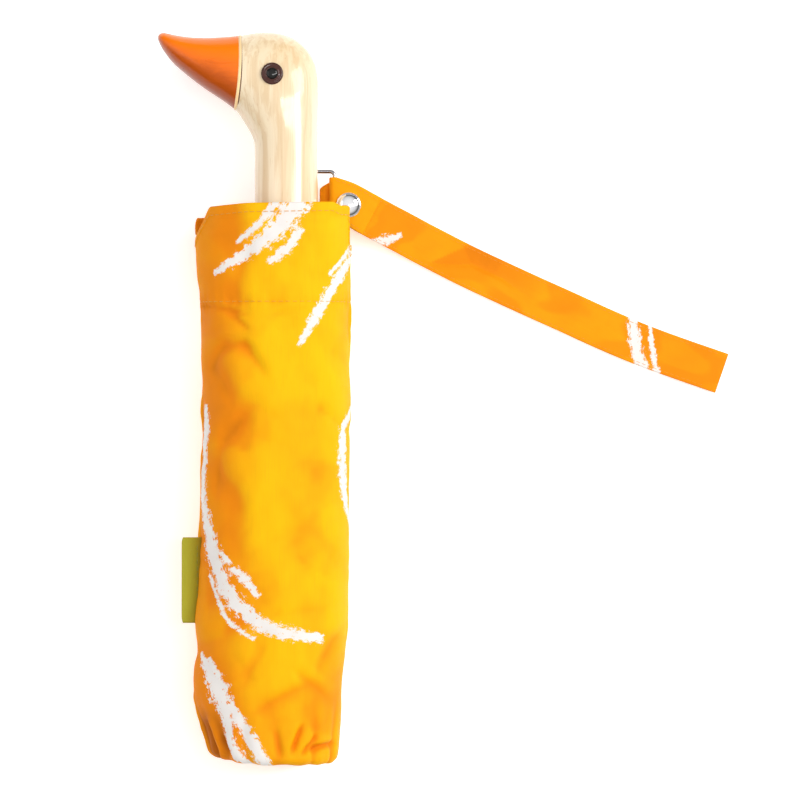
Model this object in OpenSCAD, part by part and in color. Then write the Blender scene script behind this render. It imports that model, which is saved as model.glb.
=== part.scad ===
// Compact folding umbrella with a carved duck-head handle, closed and in its fabric sleeve.
// It lies on its sleeve: +Z is up, +Y runs along the shaft towards the head, and the origin
// is under the middle of the outline without the wrist strap, on the surface that it lies on.

/* [Handle] */
// Diameter of the turned wooden neck
neck_d = 25; // [24:0.5:26]
// Thickness of the carved head, from cheek to cheek
head_t = 27; // [26:0.5:29]
// Radius of the back of the head in side view
skull_r = 15.9; // [15:0.1:16.4]
// Length of the bill, from its seam to its tip
bill_l = 32; // [28:1:36]
// Height of the bill at its seam
bill_h = 29; // [26:0.5:30]
// Outer diameter of an eye
eye_d = 8.6; // [7:0.2:9]

/* [Shaft] */
// Outer diameter of the outermost tube
tube_d = 11.6; // [11.4:0.1:11.8]
// Wall of each tube
tube_wall = 0.45; // [0.4:0.05:0.5]

/* [Rib frame] */
// Number of rib arms
rib_count = 8; // [6:1:8]
// Thickness of the ribs' sheet steel
rib_sheet = 0.4; // [0.3:0.05:0.45]

/* [Canopy] */
// Diameter of the folded canopy
roll_d = 40.4; // [40:0.1:40.6]
// Width of the tie band
band_w = 22; // [16:1:26]

/* [Sleeve] */
// Length of the umbrella in its sleeve
overall_l = 290; // [290:1:296]
// Length of the sleeve
sleeve_l = 222; // [221:0.5:223]
// Width of the sleeve
sleeve_w = 60; // [60:0.5:64]
// Height of the sleeve as it lies
sleeve_h = 46; // [46:0.5:48]
// Thickness of the sleeve's fabric
fabric_t = 1; // [0.8:0.1:1]

/* [Wrist strap] */
// Width of the webbing
strap_w = 16.5; // [15:0.5:17]
// Thickness of one layer of webbing
webbing_t = 1.1; // [0.9:0.1:1.2]
// Thickness of the ring's wire
ring_wire = 1.6; // [1.4:0.1:1.7]

/* [Hidden] */

$fn = 48;
cut = 1;                                    // how far a cutter passes a surface
fit_gap = 0.1;                              // radial clearance of a running fit
still_gap = 0.05;                           // radial clearance of pieces that are glued or pressed
fabric_gap = 0.3;                           // gap between soft pieces and their neighbours

// Stations along the shaft, from the sleeve's end to the head
head_top = overall_l / 2;
throat_y = head_top - 46;
sleeve_end = -overall_l / 2;
mouth_y = sleeve_end + sleeve_l;
neck_end = mouth_y - 7;
collar_l = 6;
roll_top = mouth_y - 19;
crown_end = sleeve_end + 17;
crown_l = 11;
crown_wire_y = crown_end + 6;
runner_wire_y = mouth_y - 39;
stretcher_joint_y = crown_wire_y + 68;
knee_y = roll_top - 34;
tail_joint_y = crown_wire_y + 8;

// The shaft's axis lies where the outline is centred on the origin
seam_reach = 18.2;                          // bill seam, left of the axis
sleeve_shift = -5;                          // sleeve's middle, from the axis
shaft_x = (seam_reach + bill_l - sleeve_w / 2 - sleeve_shift) / 2;
axis_z = sleeve_h / 2;

// Eyes: forward of the shaft's axis, below the top of the head, and the pockets' floors
eye_forward = 5.3;
eye_down = 17.1;
eye_floor = 10.6;

// Tubes, from the outside in
upper_r = tube_d / 2;
middle_r = upper_r - tube_wall - fit_gap;
lower_r = middle_r - tube_wall - fit_gap;
upper_span = [crown_end + 2, roll_top - 2];
middle_span = [crown_end + 28, roll_top + 4];
lower_span = [crown_end + 42, neck_end + 30];
catch_d = 2.2;
middle_catch_y = middle_span[0] + 8;
lower_catch_y = lower_span[0] + 8;
runner_catch_y = crown_end + 19;
catch_slot = [2.6, 12];

// Radii of the folded rib layers around the axis, from the inside out
stretcher_r = [7.2, 8.9];
top_rib_r = [9.5, 11.5];
middle_rib_r = [12.1, 14.1];
tail_r = 15.5;
tail_d = 1.8;
rib_w = 2.4;
top_rib_w = 2;
wire_d = 1;
rivet_d = 1;
link_d = 0.9;
link_offset = 2.5;
crown_r = 12.5;
runner_r = 7.8;
runner_head_r = 9.2;
rib_turn = 180 / rib_count;                 // no rib lies straight above the axis

// Folded canopy
roll_r = roll_d / 2;
roll_in_r = 17.2;
band_t = 0.8;
band_y = -8;
tie_stud_turn = -130;

// Sleeve sections: [place along the shaft, share of the width, share of the height]
sleeve_sections = [
    [0, 0.80, 0.72], [2.5, 0.91, 0.88], [8, 0.97, 0.97], [24, 1, 1],
    [120, 0.975, 1], [205, 1, 1], [sleeve_l, 0.965, 0.98]
];
sleeve_power = 2.6;                         // 2 would be an ellipse, more is boxier
slit_l = 17;
slit_x = shaft_x + 11.5;
slit_top = 31;

// Ring, hung from a clip behind the neck
neck_r = neck_d / 2;
clip_t = 0.6;
clip_turn = -50;
clip_l = 10;
clip_y = neck_end + 11;
pivot_r = neck_r + ring_wire / 2 + 0.95;
pivot = [shaft_x + pivot_r * cos(clip_turn), clip_y, axis_z + pivot_r * sin(clip_turn)];
ring_l = 20.4;
ring_reach = 9.8;
ring_corner = 1.8;
bar = [pivot[0] + ring_reach, clip_y, pivot[2]];
bar_gap = ring_wire / 2 + fabric_gap;

// Press stud, beside the ring
snap_x = 37.2;
snap_y = 77;
snap_r = 4.2;
cap_r = 5;

// Webbing: each point is [x, y, z, yaw of the weft, share of the width]. It leaves the ring's
// bar level, stays level under the press stud, falls past the sleeve and then lies flat.
bar_y = 80.4;                               // middle of the webbing on the bar
near_w = 0.95;                              // webbing is drawn in a little on the bar
strap_near_z = bar[2] - bar_gap - webbing_t;
rest_z = webbing_t + 0.5;
strap_route = [
    [32.2, bar_y, strap_near_z, 0, near_w],
    [snap_x, 78, strap_near_z, -14, 0.97],
    [42, 75, strap_near_z, -24, 1],
    [48, 71.8, 8.3, -28, 1],
    [54, 68.7, 6.1, -28, 1],
    [60, 65.6, 4, -28, 1],
    [66, 62.4, 2.5, -27, 1],
    [73, 58.8, rest_z + 0.2, -27, 1],
    [84, 53.2, rest_z, -27, 1],
    [98, 46.6, rest_z, -25, 1],
    [126, 33.9, rest_z, -24, 1],
    [154, 21.6, rest_z, -22, 1],
    [170, 15.7, rest_z, -20, 1],
    [185.6, 10.3, rest_z, -19, 1]
];
flap_near_z = bar[2] + bar_gap + webbing_t / 2;
flap_route = [
    [bar[0], bar_y, flap_near_z, 0, near_w],
    [snap_x, 78, flap_near_z, -14, 0.97],
    [42, 75, flap_near_z, -24, 1],
    [46.4, 72.6, flap_near_z - 1.8, -28, 1]
];

// Children's +Z runs along the shaft from this station, and their -Y points up.
module on_shaft(y) {
    translate([shaft_x, y, axis_z]) rotate([-90, 0, 0]) children();
}

// Repeats its children once for each rib arm.
module each_arm() {
    for (i = [0 : rib_count - 1]) rotate([0, 0, rib_turn + i * 360 / rib_count]) children();
}

module pipe(r_out, r_in, span) {
    on_shaft(span[0]) difference() {
        cylinder(r = r_out, h = span[1] - span[0]);
        translate([0, 0, -cut]) cylinder(r = r_in, h = span[1] - span[0] + 2 * cut);
    }
}

// A wire bent into a full ring about the shaft.
module wire_ring(r, d) {
    rotate_extrude() translate([r, 0]) circle(d = d);
}

// A closed skin through rings of points, each ring with the same number of points.
module skin(rings) {
    n = len(rings[0]);
    m = len(rings);
    sides = [for (i = [0 : m - 2], j = [0 : n - 1])
        [i * n + j, i * n + (j + 1) % n, (i + 1) * n + (j + 1) % n, (i + 1) * n + j]];
    first = [[for (j = [n - 1 : -1 : 0]) j]];
    last = [[for (j = [0 : n - 1]) (m - 1) * n + j]];
    polyhedron(points = [for (ring = rings, p = ring) p], faces = concat(first, sides, last));
}

function signed_power(v, p) = sign(v) * pow(abs(v), p);

// One section of webbing: a flat band with eased edges, turned by yaw about +Z.
function webbing_ring(p, w, t) =
    let (a = w / 2, b = t / 2, e = t / 4,
        band = [[a, e - b], [a - e, -b], [e - a, -b], [-a, e - b], [-a, b - e], [e - a, b],
            [a - e, b], [a, b - e]])
    [for (q = band) [p[0] - q[0] * sin(p[3]), p[1] + q[0] * cos(p[3]), p[2] + q[1]]];

module webbing(route, t) {
    skin([for (p = route) webbing_ring(p, strap_w * p[4], t)]);
}

// ---- Handle ----

module skull_ball(x, y, r) {
    translate([shaft_x + x, y, axis_z]) scale([1, 1, head_t / (2 * skull_r)]) sphere(r = r, $fn = 40);
}

module duck_head() {
    seam_x = shaft_x - seam_reach;
    color("burlywood") difference() {
        union() {
            on_shaft(neck_end) cylinder(r = neck_r, h = throat_y - neck_end);
            hull() {
                skull_ball(-3.4, head_top - skull_r, skull_r);
                skull_ball(-9.5, head_top - 14.4, 13.4);
                skull_ball(-11, head_top - 21, 13.8);
                on_shaft(throat_y) cylinder(r = neck_r + still_gap, h = 1, $fn = 64);
            }
        }
        translate([seam_x - 40, head_top - 60, 0]) cube([40, 80, 60]);
        on_shaft(neck_end - cut) cylinder(r = lower_r + still_gap, h = 31 + cut);
        bill_tenon(still_gap);
        for (side = [-1, 1]) eye_place(side) cylinder(d = eye_d + 2 * still_gap, h = 6);
        clip_screw_places() translate([0, 0, -6]) cylinder(d = 1.7, h = 8);
    }
}

// The bill's tenon, which plugs into the head.
module bill_tenon(gap) {
    translate([shaft_x - seam_reach - cut, head_top - 17, axis_z]) rotate([0, 90, 0])
        cylinder(d = 9 + 2 * gap, h = 7 + gap + cut);
}

// A section of the bill at a distance t from its tip.
function bill_ring(t) =
    let (s = t / bill_l, h = bill_h * pow(s, 0.55), w = 12 + 12.6 * pow(s, 0.7),
        top = head_top - 1.5 - 3.2 * s * (1 - s))
    [for (a = [345 : -15 : 0]) [
        shaft_x - seam_reach - bill_l + t,
        top - h / 2 + h / 2 * signed_power(cos(a), 0.8),
        axis_z + w / 2 * signed_power(sin(a), 0.8)]];

module bill() {
    color("orange") union() {
        skin([for (t = [0.25, 1, 2.5, 5, 9, 14, 20, 26, bill_l - 0.1]) bill_ring(t)]);
        bill_tenon(0);
    }
}

// Each eye sits in a pocket in the cheek; its children rise outwards from the pocket's floor.
module eye_place(side) {
    translate([shaft_x - eye_forward, head_top - eye_down, axis_z + side * eye_floor])
        rotate([side > 0 ? 0 : 180, 0, 0]) children();
}

module eye_irises() {
    color("saddlebrown") for (side = [-1, 1]) eye_place(side) rotate_extrude()
        polygon([[2.35, 0], [eye_d / 2, 0], [eye_d / 2, 2.6], [3.6, 3.2], [2.35, 3.6]]);
}

module eye_pupils() {
    color("black") for (side = [-1, 1]) eye_place(side) rotate_extrude()
        polygon([[0, 0], [2.3, 0], [2.3, 3.6], [1.3, 4], [0, 4.1]]);
}

module handle_collar() {
    color("dimgray") pipe(11, lower_r + still_gap, [neck_end - collar_l, neck_end]);
}

// ---- Shaft ----

// A hole through the upper wall of a tube at one station.
module catch_hole(y, d) {
    translate([shaft_x, y, axis_z]) cylinder(d = d, h = upper_r + cut);
}

module lower_tube() {
    color("silver") difference() {
        pipe(lower_r, lower_r - tube_wall, lower_span);
        catch_hole(lower_catch_y, catch_d + 2 * fit_gap);
    }
}

module middle_tube() {
    color("silver") difference() {
        pipe(middle_r, middle_r - tube_wall, middle_span);
        catch_hole(middle_catch_y, catch_d + 2 * fit_gap);
    }
}

module upper_tube() {
    color("silver") difference() {
        pipe(upper_r, upper_r - tube_wall, upper_span);
        translate([shaft_x - catch_slot[0] / 2, runner_catch_y - catch_slot[1] / 2, axis_z])
            cube([catch_slot[0], catch_slot[1], upper_r + cut]);
    }
}

// A button on a leaf spring that lies under the wall of its own tube.
module tube_catch(y, r) {
    leaf_z = r - tube_wall - 0.95;
    translate([shaft_x, y, axis_z]) union() {
        translate([0, 0, leaf_z]) cylinder(d = catch_d, h = r - 0.15 - leaf_z);
        translate([-1.5, -8, leaf_z]) cube([3, 13, 0.4]);
    }
}

module lower_catch() {
    color("lightsteelblue") tube_catch(lower_catch_y, lower_r);
}

module middle_catch() {
    color("lightsteelblue") tube_catch(middle_catch_y, middle_r);
}

// The open runner rides over the long slope and is held by the steep end.
module runner_catch() {
    slope = [[-4.5, 3.2], [5, 3.2], [5, 5.2], [-3.4, upper_r + 1.4], [-4.5, upper_r + 0.8]];
    color("lightsteelblue") translate([shaft_x, runner_catch_y, axis_z]) union() {
        rotate([90, 0, 90]) translate([0, 0, -1.1]) linear_extrude(2.2) polygon(slope);
        translate([-1.1, -8, 3]) cube([2.2, 16, 0.5]);
    }
}

// ---- Rib frame ----

// A channel open towards the shaft, from one station to another.
module channel(radii, w, span) {
    h = radii[1] - radii[0];
    difference() {
        translate([radii[0], -w / 2, span[0]]) cube([h, w, span[1] - span[0]]);
        translate([radii[0] - cut, rib_sheet - w / 2, span[0] - cut])
            cube([h - rib_sheet + cut, w - 2 * rib_sheet, span[1] - span[0] + 2 * cut]);
    }
}

// A pair of cheek plates on a channel of width w.
module cheeks(radii, w, span) {
    for (side = [-1, 1]) translate([radii[0], side * (w + rib_sheet) / 2 - rib_sheet / 2, span[0]])
        cube([radii[1] - radii[0], rib_sheet, span[1] - span[0]]);
}

// A pin across an arm at radius r and station y.
module cross_pin(r, y, d, l) {
    translate([r, l / 2, y]) rotate([90, 0, 0]) cylinder(d = d, h = l, $fn = 24);
}

// A radial slot for one arm in a hub.
module arm_slot(r, w, y, l) {
    translate([r, -w / 2, y]) cube([20, w, l]);
}

module crown() {
    color("dimgray") on_shaft(0) difference() {
        translate([0, 0, crown_end]) cylinder(r = crown_r, h = crown_l);
        translate([0, 0, upper_span[0]]) cylinder(r = upper_r + still_gap, h = crown_l);
        translate([0, 0, crown_end - cut]) cylinder(r = 2.9, h = crown_l);
        each_arm() arm_slot(top_rib_r[0] - 0.4, top_rib_w + 0.4, crown_wire_y - 3, crown_l);
        translate([0, 0, crown_wire_y]) wire_ring(mid(top_rib_r), wire_d + 2 * still_gap);
    }
}

function mid(span) = (span[0] + span[1]) / 2;

module crown_wire() {
    color("silver") on_shaft(crown_wire_y) wire_ring(mid(top_rib_r), wire_d);
}

module runner() {
    head_l = 9;
    color("dimgray") on_shaft(0) difference() {
        union() {
            translate([0, 0, runner_wire_y - 4]) cylinder(r = runner_head_r, h = head_l);
            translate([0, 0, runner_wire_y]) cylinder(r = runner_r, h = roll_top - runner_wire_y);
        }
        translate([0, 0, runner_wire_y - 5]) cylinder(r = upper_r + fit_gap, h = 40);
        each_arm() arm_slot(stretcher_r[0] - 0.3, rib_w + 0.4, runner_wire_y - 5, head_l - 1);
        translate([0, 0, runner_wire_y]) wire_ring(mid(stretcher_r), wire_d + 2 * still_gap);
        translate([-1.6, -20, runner_wire_y + 6]) cube([3.2, 20, 11]);
    }
}

module runner_wire() {
    color("silver") on_shaft(runner_wire_y) wire_ring(mid(stretcher_r), wire_d);
}

module stretchers() {
    color("silver") on_shaft(0) each_arm() difference() {
        union() {
            channel(stretcher_r, rib_w, [stretcher_joint_y - 3, runner_wire_y + 1.5]);
            cheeks([stretcher_r[0], top_rib_r[1] - 0.2], rib_w, [stretcher_joint_y - 2, stretcher_joint_y + 6]);
        }
        cross_pin(mid(stretcher_r), runner_wire_y, wire_d + 0.5, 4);
        cross_pin(mid(top_rib_r), stretcher_joint_y, rivet_d + 0.1, 6);
        cross_pin(mid(top_rib_r), stretcher_joint_y + 4, link_d + 0.2, 6);
    }
}

module top_ribs() {
    color("silver") on_shaft(0) each_arm() difference() {
        channel(top_rib_r, top_rib_w, [crown_wire_y - 1.5, knee_y + 1.5]);
        cross_pin(mid(top_rib_r), crown_wire_y, wire_d + 0.5, 4);
        cross_pin(mid(top_rib_r), stretcher_joint_y, rivet_d + 0.1, 6);
        cross_pin(mid(top_rib_r), knee_y, rivet_d + 0.1, 6);
    }
}

module middle_ribs() {
    color("silver") on_shaft(0) each_arm() difference() {
        union() {
            channel(middle_rib_r, rib_w, [tail_joint_y - 2, knee_y + 2]);
            cheeks([top_rib_r[0] + 0.2, middle_rib_r[1]], rib_w, [knee_y - 6, knee_y + 2]);
        }
        cross_pin(mid(top_rib_r), knee_y, rivet_d + 0.1, 6);
        cross_pin(mid(top_rib_r), knee_y - 4, link_d + 0.2, 6);
        cross_pin(mid(middle_rib_r), tail_joint_y, rivet_d + 0.1, 6);
    }
}

// Sprung wires, each in a clevis that straddles the middle rib's end.
module tail_ribs() {
    clevis_w = rib_w + 0.4;
    color("silver") on_shaft(0) each_arm() difference() {
        union() {
            translate([tail_r, 0, tail_joint_y]) cylinder(d = tail_d, h = roll_top + 1 - tail_joint_y, $fn = 24);
            translate([middle_rib_r[1] + 0.3, -clevis_w / 2 - rib_sheet, tail_joint_y - 2])
                cube([2, clevis_w + 2 * rib_sheet, 6]);
            cheeks([middle_rib_r[0] + 0.3, tail_r], clevis_w, [tail_joint_y - 2, tail_joint_y + 4]);
        }
        cross_pin(mid(middle_rib_r), tail_joint_y, rivet_d + 0.1, 6);
    }
}

// Thin wires with hooked ends that fold each knee as the stretchers fold.
module link_wires() {
    link_span = [stretcher_joint_y + 4, knee_y - 4];
    color("silver") on_shaft(0) each_arm() union() {
        translate([mid(top_rib_r), link_offset, link_span[0]])
            cylinder(d = link_d, h = link_span[1] - link_span[0], $fn = 24);
        for (y = link_span) translate([mid(top_rib_r), link_offset, y]) {
            sphere(d = link_d, $fn = 24);
            rotate([90, 0, 0]) cylinder(d = link_d, h = link_offset - 1.3, $fn = 24);
        }
    }
}

// One rivet: a pin with a flat head at each end.
module rivet(r, y, l) {
    union() {
        cross_pin(r, y, rivet_d, l);
        for (side = [-1, 1]) translate([0, side * (l / 2 + 0.15), 0]) cross_pin(r, y, 1.8, 0.3);
    }
}

module rib_rivets() {
    wide = rib_w + 2 * rib_sheet + 0.1;
    color("gray") on_shaft(0) each_arm() {
        rivet(mid(top_rib_r), stretcher_joint_y, wide);
        rivet(mid(top_rib_r), knee_y, wide);
        rivet(mid(middle_rib_r), tail_joint_y, wide + 0.4);
    }
}

module rib_tips() {
    tip_l = 4.4;
    color("dimgray") on_shaft(roll_top) each_arm() translate([tail_r, 0, 0]) difference() {
        union() {
            cylinder(d = 2.9, h = tip_l, $fn = 32);
            translate([0, 0, tip_l]) sphere(d = 2.9, $fn = 32);
        }
        translate([0, 0, -cut]) cylinder(d = tail_d + 2 * still_gap, h = cut + 2, $fn = 32);
    }
}

// ---- Canopy ----

// The cloth, rolled round the ribs and closed at the crown.
module canopy_roll() {
    shoulder = crown_end + 5;
    color("goldenrod") on_shaft(0) rotate_extrude($fn = 72) polygon([
        [3, crown_end - 1.3], [15, crown_end - 1.3], [roll_r, shoulder], [roll_r, roll_top],
        [roll_in_r, roll_top], [roll_in_r, shoulder + 1], [13.9, crown_end - fabric_gap],
        [3, crown_end - fabric_gap]
    ]);
}

module tie_band() {
    color("gold") pipe(roll_r + band_t + still_gap, roll_r + still_gap, [band_y, band_y + band_w]);
}

module tie_stud() {
    color("silver") on_shaft(band_y + band_w / 2) rotate([0, 0, tie_stud_turn])
        translate([roll_r + band_t, 0, 0]) rotate([0, 90, 0])
        rotate_extrude() polygon([[0, 0.2], [4.6, 0.2], [4.6, 0.7], [3.4, 1.3], [0, 1.6]]);
}

module canopy_washer() {
    color("dimgray") pipe(11, 3, [crown_end - 2.2, crown_end - 1.4]);
}

module ferrule() {
    color("dimgray") on_shaft(crown_end - 2.3) union() {
        rotate([180, 0, 0]) rotate_extrude() polygon([
            [0, 0], [10, 0], [10, 3], [8.6, 6.2], [6, 8.6], [3.4, 9.8], [0, 10.2]
        ]);
        cylinder(r = 2.8, h = 9);
    }
}

// ---- Sleeve ----

// One section: a soft box whose underside is pressed flat, smaller by inset on every side.
function sleeve_ring(s, inset) =
    let (a = sleeve_w / 2 * s[1] - inset, b = (axis_z + 0.6) * s[2] - inset)
    [for (i = [0 : 7.5 : 352.5]) [
        shaft_x + sleeve_shift + a * signed_power(cos(i), 2 / sleeve_power),
        sleeve_end + s[0] + (s[0] == 0 ? inset : 0) + (s[0] == sleeve_l && inset > 0 ? cut : 0),
        min(max(axis_z + b * signed_power(sin(i), 2 / sleeve_power), inset), sleeve_h - inset)]];

module sleeve() {
    color("gold") difference() {
        skin([for (s = sleeve_sections) sleeve_ring(s, 0)]);
        skin([for (s = sleeve_sections) sleeve_ring(s, fabric_t)]);
        translate([slit_x, mouth_y - slit_l, -cut]) cube([40, slit_l + 2 * cut, slit_top + cut]);
    }
}

// A folded woven tab, sewn into the left seam.
module side_label() {
    label_l = 34;
    label_w = 7;
    label_t = 0.9;
    label_x = shaft_x + sleeve_shift - sleeve_w / 2 - label_w + 0.4;
    label_y = sleeve_end + 55.7;
    color("olivedrab") translate([label_x, label_y, axis_z - label_t / 2])
        cube([label_w + 0.7, label_l, label_t]);
}

// ---- Ring and wrist strap ----

module clip_screw_places() {
    for (dy = [-2.6, 2.6]) on_shaft(clip_y + dy) rotate([0, 0, -clip_turn + 32])
        translate([neck_r, 0, 0]) rotate([0, 90, 0]) children();
}

// A curved plate on the neck that ends in a rolled eye for the ring.
module ring_clip() {
    color("silver") difference() {
        union() {
            on_shaft(clip_y - clip_l / 2) rotate([0, 0, -clip_turn - 8]) rotate_extrude(angle = 56)
                translate([neck_r + still_gap, 0]) square([clip_t, clip_l]);
            translate([pivot[0], clip_y + clip_l / 2, pivot[2]]) rotate([90, 0, 0])
                cylinder(r = ring_wire / 2 + 0.8, h = clip_l);
        }
        translate([pivot[0], clip_y + clip_l, pivot[2]]) rotate([90, 0, 0])
            cylinder(r = ring_wire / 2 + fit_gap, h = 2 * clip_l);
        clip_screw_places() translate([0, 0, -cut]) cylinder(d = 1.7, h = 4);
    }
}

module clip_screws() {
    color("gray") clip_screw_places() union() {
        translate([0, 0, -5.5]) cylinder(d = 1.6, h = 6.5);
        translate([0, 0, clip_t + 2 * still_gap]) cylinder(d = 3, h = 0.9);
    }
}

// A straight length of the ring's wire, along +Y from a point.
module ring_bar(x, y, l) {
    translate([x, y + l, bar[2]]) rotate([90, 0, 0]) cylinder(d = ring_wire, h = l);
}

module strap_ring() {
    straight = ring_l - ring_wire - 2 * ring_corner;
    across = ring_reach - 2 * ring_corner;
    low_y = clip_y - ring_l / 2 + ring_wire / 2;
    color("silver") union() {
        for (x = [pivot[0], bar[0]]) ring_bar(x, low_y + ring_corner, straight);
        for (y = [low_y, low_y + straight + 2 * ring_corner])
            translate([pivot[0] + ring_corner, y, bar[2]]) rotate([0, 90, 0])
                cylinder(d = ring_wire, h = across);
        for (i = [0, 1], j = [0, 1])
            translate([pivot[0] + ring_corner + i * across, low_y + ring_corner + j * straight, bar[2]])
                rotate([0, 0, i == 1 ? (j == 1 ? 0 : -90) : (j == 1 ? 90 : 180)])
                rotate_extrude(angle = 90) translate([ring_corner, 0]) circle(d = ring_wire);
    }
}

module wrist_strap() {
    color("orange") webbing(strap_route, 2 * webbing_t);
}

// The webbing's end: round the ring's bar, then back over the strap.
module strap_flap() {
    wrap_w = strap_w * near_w;
    color("orange") union() {
        webbing(flap_route, webbing_t);
        translate([bar[0], bar_y + wrap_w / 2, bar[2]]) rotate([90, 0, 0]) rotate([0, 0, 89])
            rotate_extrude(angle = 126, $fn = 120) translate([bar_gap, 0]) square([webbing_t, wrap_w]);
    }
}

module snap_part(z, points) {
    translate([snap_x, snap_y, z]) rotate_extrude() polygon(points);
}

module snap_cap() {
    color("silver") snap_part(flap_near_z + webbing_t / 2, [
        [0, 0], [cap_r, 0], [cap_r, 0.8], [4.2, 1.6], [2.6, 2.1], [0, 2.3]
    ]);
}

module snap_socket() {
    color("gray") snap_part(flap_near_z - webbing_t / 2, [[1.9, -1], [snap_r, -0.6], [snap_r, 0], [1.9, 0]]);
}

module snap_stud() {
    color("gray") snap_part(strap_near_z + webbing_t, [
        [0, 0], [snap_r, 0], [snap_r, 0.4], [1.6, 0.6], [1.6, 1.6], [0, 1.8]
    ]);
}

module snap_post() {
    color("gray") snap_part(strap_near_z - webbing_t, [[0, 0], [snap_r, 0], [snap_r, -0.6], [0, -0.8]]);
}

duck_head();
bill();
eye_irises();
eye_pupils();
handle_collar();
lower_tube();
lower_catch();
middle_tube();
middle_catch();
upper_tube();
runner_catch();
crown();
crown_wire();
runner();
runner_wire();
stretchers();
top_ribs();
middle_ribs();
tail_ribs();
link_wires();
rib_rivets();
rib_tips();
canopy_roll();
tie_band();
tie_stud();
canopy_washer();
ferrule();
sleeve();
side_label();
ring_clip();
clip_screws();
strap_ring();
wrist_strap();
snap_stud();
snap_post();
strap_flap();
snap_socket();
snap_cap();
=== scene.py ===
"""Children's folding umbrella with a duck-head handle, closed in its sleeve, lying flat."""
import math

import bpy
import numpy as np
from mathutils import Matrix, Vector, noise


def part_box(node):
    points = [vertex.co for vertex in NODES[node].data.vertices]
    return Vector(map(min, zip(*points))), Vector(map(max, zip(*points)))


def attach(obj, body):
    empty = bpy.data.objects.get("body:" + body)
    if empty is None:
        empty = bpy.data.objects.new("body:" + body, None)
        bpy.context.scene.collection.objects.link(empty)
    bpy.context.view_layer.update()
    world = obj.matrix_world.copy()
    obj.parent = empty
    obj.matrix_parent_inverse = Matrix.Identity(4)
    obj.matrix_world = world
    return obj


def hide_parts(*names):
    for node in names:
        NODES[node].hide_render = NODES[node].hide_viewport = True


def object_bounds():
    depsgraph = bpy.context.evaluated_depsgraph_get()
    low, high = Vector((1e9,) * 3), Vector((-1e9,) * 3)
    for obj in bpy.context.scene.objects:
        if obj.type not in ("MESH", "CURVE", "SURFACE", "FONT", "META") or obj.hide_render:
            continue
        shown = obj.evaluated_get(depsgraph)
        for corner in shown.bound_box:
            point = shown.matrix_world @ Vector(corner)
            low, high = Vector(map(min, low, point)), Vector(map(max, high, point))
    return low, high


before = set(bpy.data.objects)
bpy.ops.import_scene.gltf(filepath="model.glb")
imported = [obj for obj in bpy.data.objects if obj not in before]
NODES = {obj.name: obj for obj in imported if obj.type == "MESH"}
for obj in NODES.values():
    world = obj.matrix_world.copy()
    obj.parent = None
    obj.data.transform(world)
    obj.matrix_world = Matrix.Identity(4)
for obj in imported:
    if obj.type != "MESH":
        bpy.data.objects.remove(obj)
cad_low, cad_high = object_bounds()

MM = 0.001


# ---- Places, all taken from the frame ----

def middle(node):
    low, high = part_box(node)
    return (low + high) / 2


AXIS_X = middle("upper_tube").x
AXIS_Z = middle("upper_tube").z
SLEEVE_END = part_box("sleeve")[0].y


def at(x, y, z=0.0):
    """A point given in millimetres: across from the shaft's axis, along +Y, and above the axis."""
    return Vector((AXIS_X + x * MM, y * MM, AXIS_Z + z * MM))


# ---- Camera and light ----

def make_camera():
    """Straight above the umbrella, with the strap's end just inside the frame."""
    data = bpy.data.cameras.new("camera")
    camera = bpy.data.objects.new("camera", data)
    bpy.context.scene.collection.objects.link(camera)
    field = 0.3176       # width of the frame at the umbrella's middle
    distance = 1.9
    aim = Vector((AXIS_X + 0.0451, -0.0008, 0.023))
    camera.location = aim + Vector((0, 0, distance))
    # Plain display colours keep the cloth's yellow as strong as it is
    bpy.context.scene.view_settings.view_transform = "Standard"
    data.sensor_width = 36.0
    data.lens = data.sensor_width * distance / field
    data.clip_end = 20.0
    bpy.context.scene.camera = camera


def soft_light(name, where, size, power, colour=(1.0, 1.0, 1.0)):
    data = bpy.data.lights.new(name, "AREA")
    data.shape = "RECTANGLE"
    data.size, data.size_y = size
    data.energy = power
    data.color = colour
    lamp = bpy.data.objects.new(name, data)
    lamp.location = where
    lamp.rotation_euler = (Vector((0.03, 0, 0.02)) - Vector(where)).to_track_quat("-Z", "Y").to_euler()
    bpy.context.scene.collection.objects.link(lamp)


def make_lights():
    """A bright ceiling that darkens towards the horizon, a soft key on the right, a strip that
    draws the long highlight on the neck, and a weak fill on the left."""
    world = bpy.data.worlds.new("studio")
    bpy.context.scene.world = world
    world.use_nodes = True
    tree = world.node_tree
    where = tree.nodes.new("ShaderNodeTexCoord")
    parts = tree.nodes.new("ShaderNodeSeparateXYZ")
    ceiling = tree.nodes.new("ShaderNodeMapRange")
    tree.links.new(where.outputs["Generated"], parts.inputs[0])
    tree.links.new(parts.outputs["Z"], ceiling.inputs["Value"])
    for socket, number in (("From Min", 0.3), ("From Max", 1.0), ("To Min", 0.12), ("To Max", 0.95)):
        ceiling.inputs[socket].default_value = number
    tree.links.new(ceiling.outputs[0], tree.nodes["Background"].inputs["Strength"])
    tree.nodes["Background"].inputs["Color"].default_value = (1.0, 1.0, 1.0, 1.0)
    soft_light("key", (1.05, 0.45, 0.95), (0.7, 0.9), 10.6, (1.0, 0.99, 0.97))
    soft_light("overhead_strip", (0.70, 0.1, 1.4), (0.13, 1.5), 7.5)
    soft_light("left_fill", (-1.0, 0.1, 0.7), (1.0, 1.2), 3.5)


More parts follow.
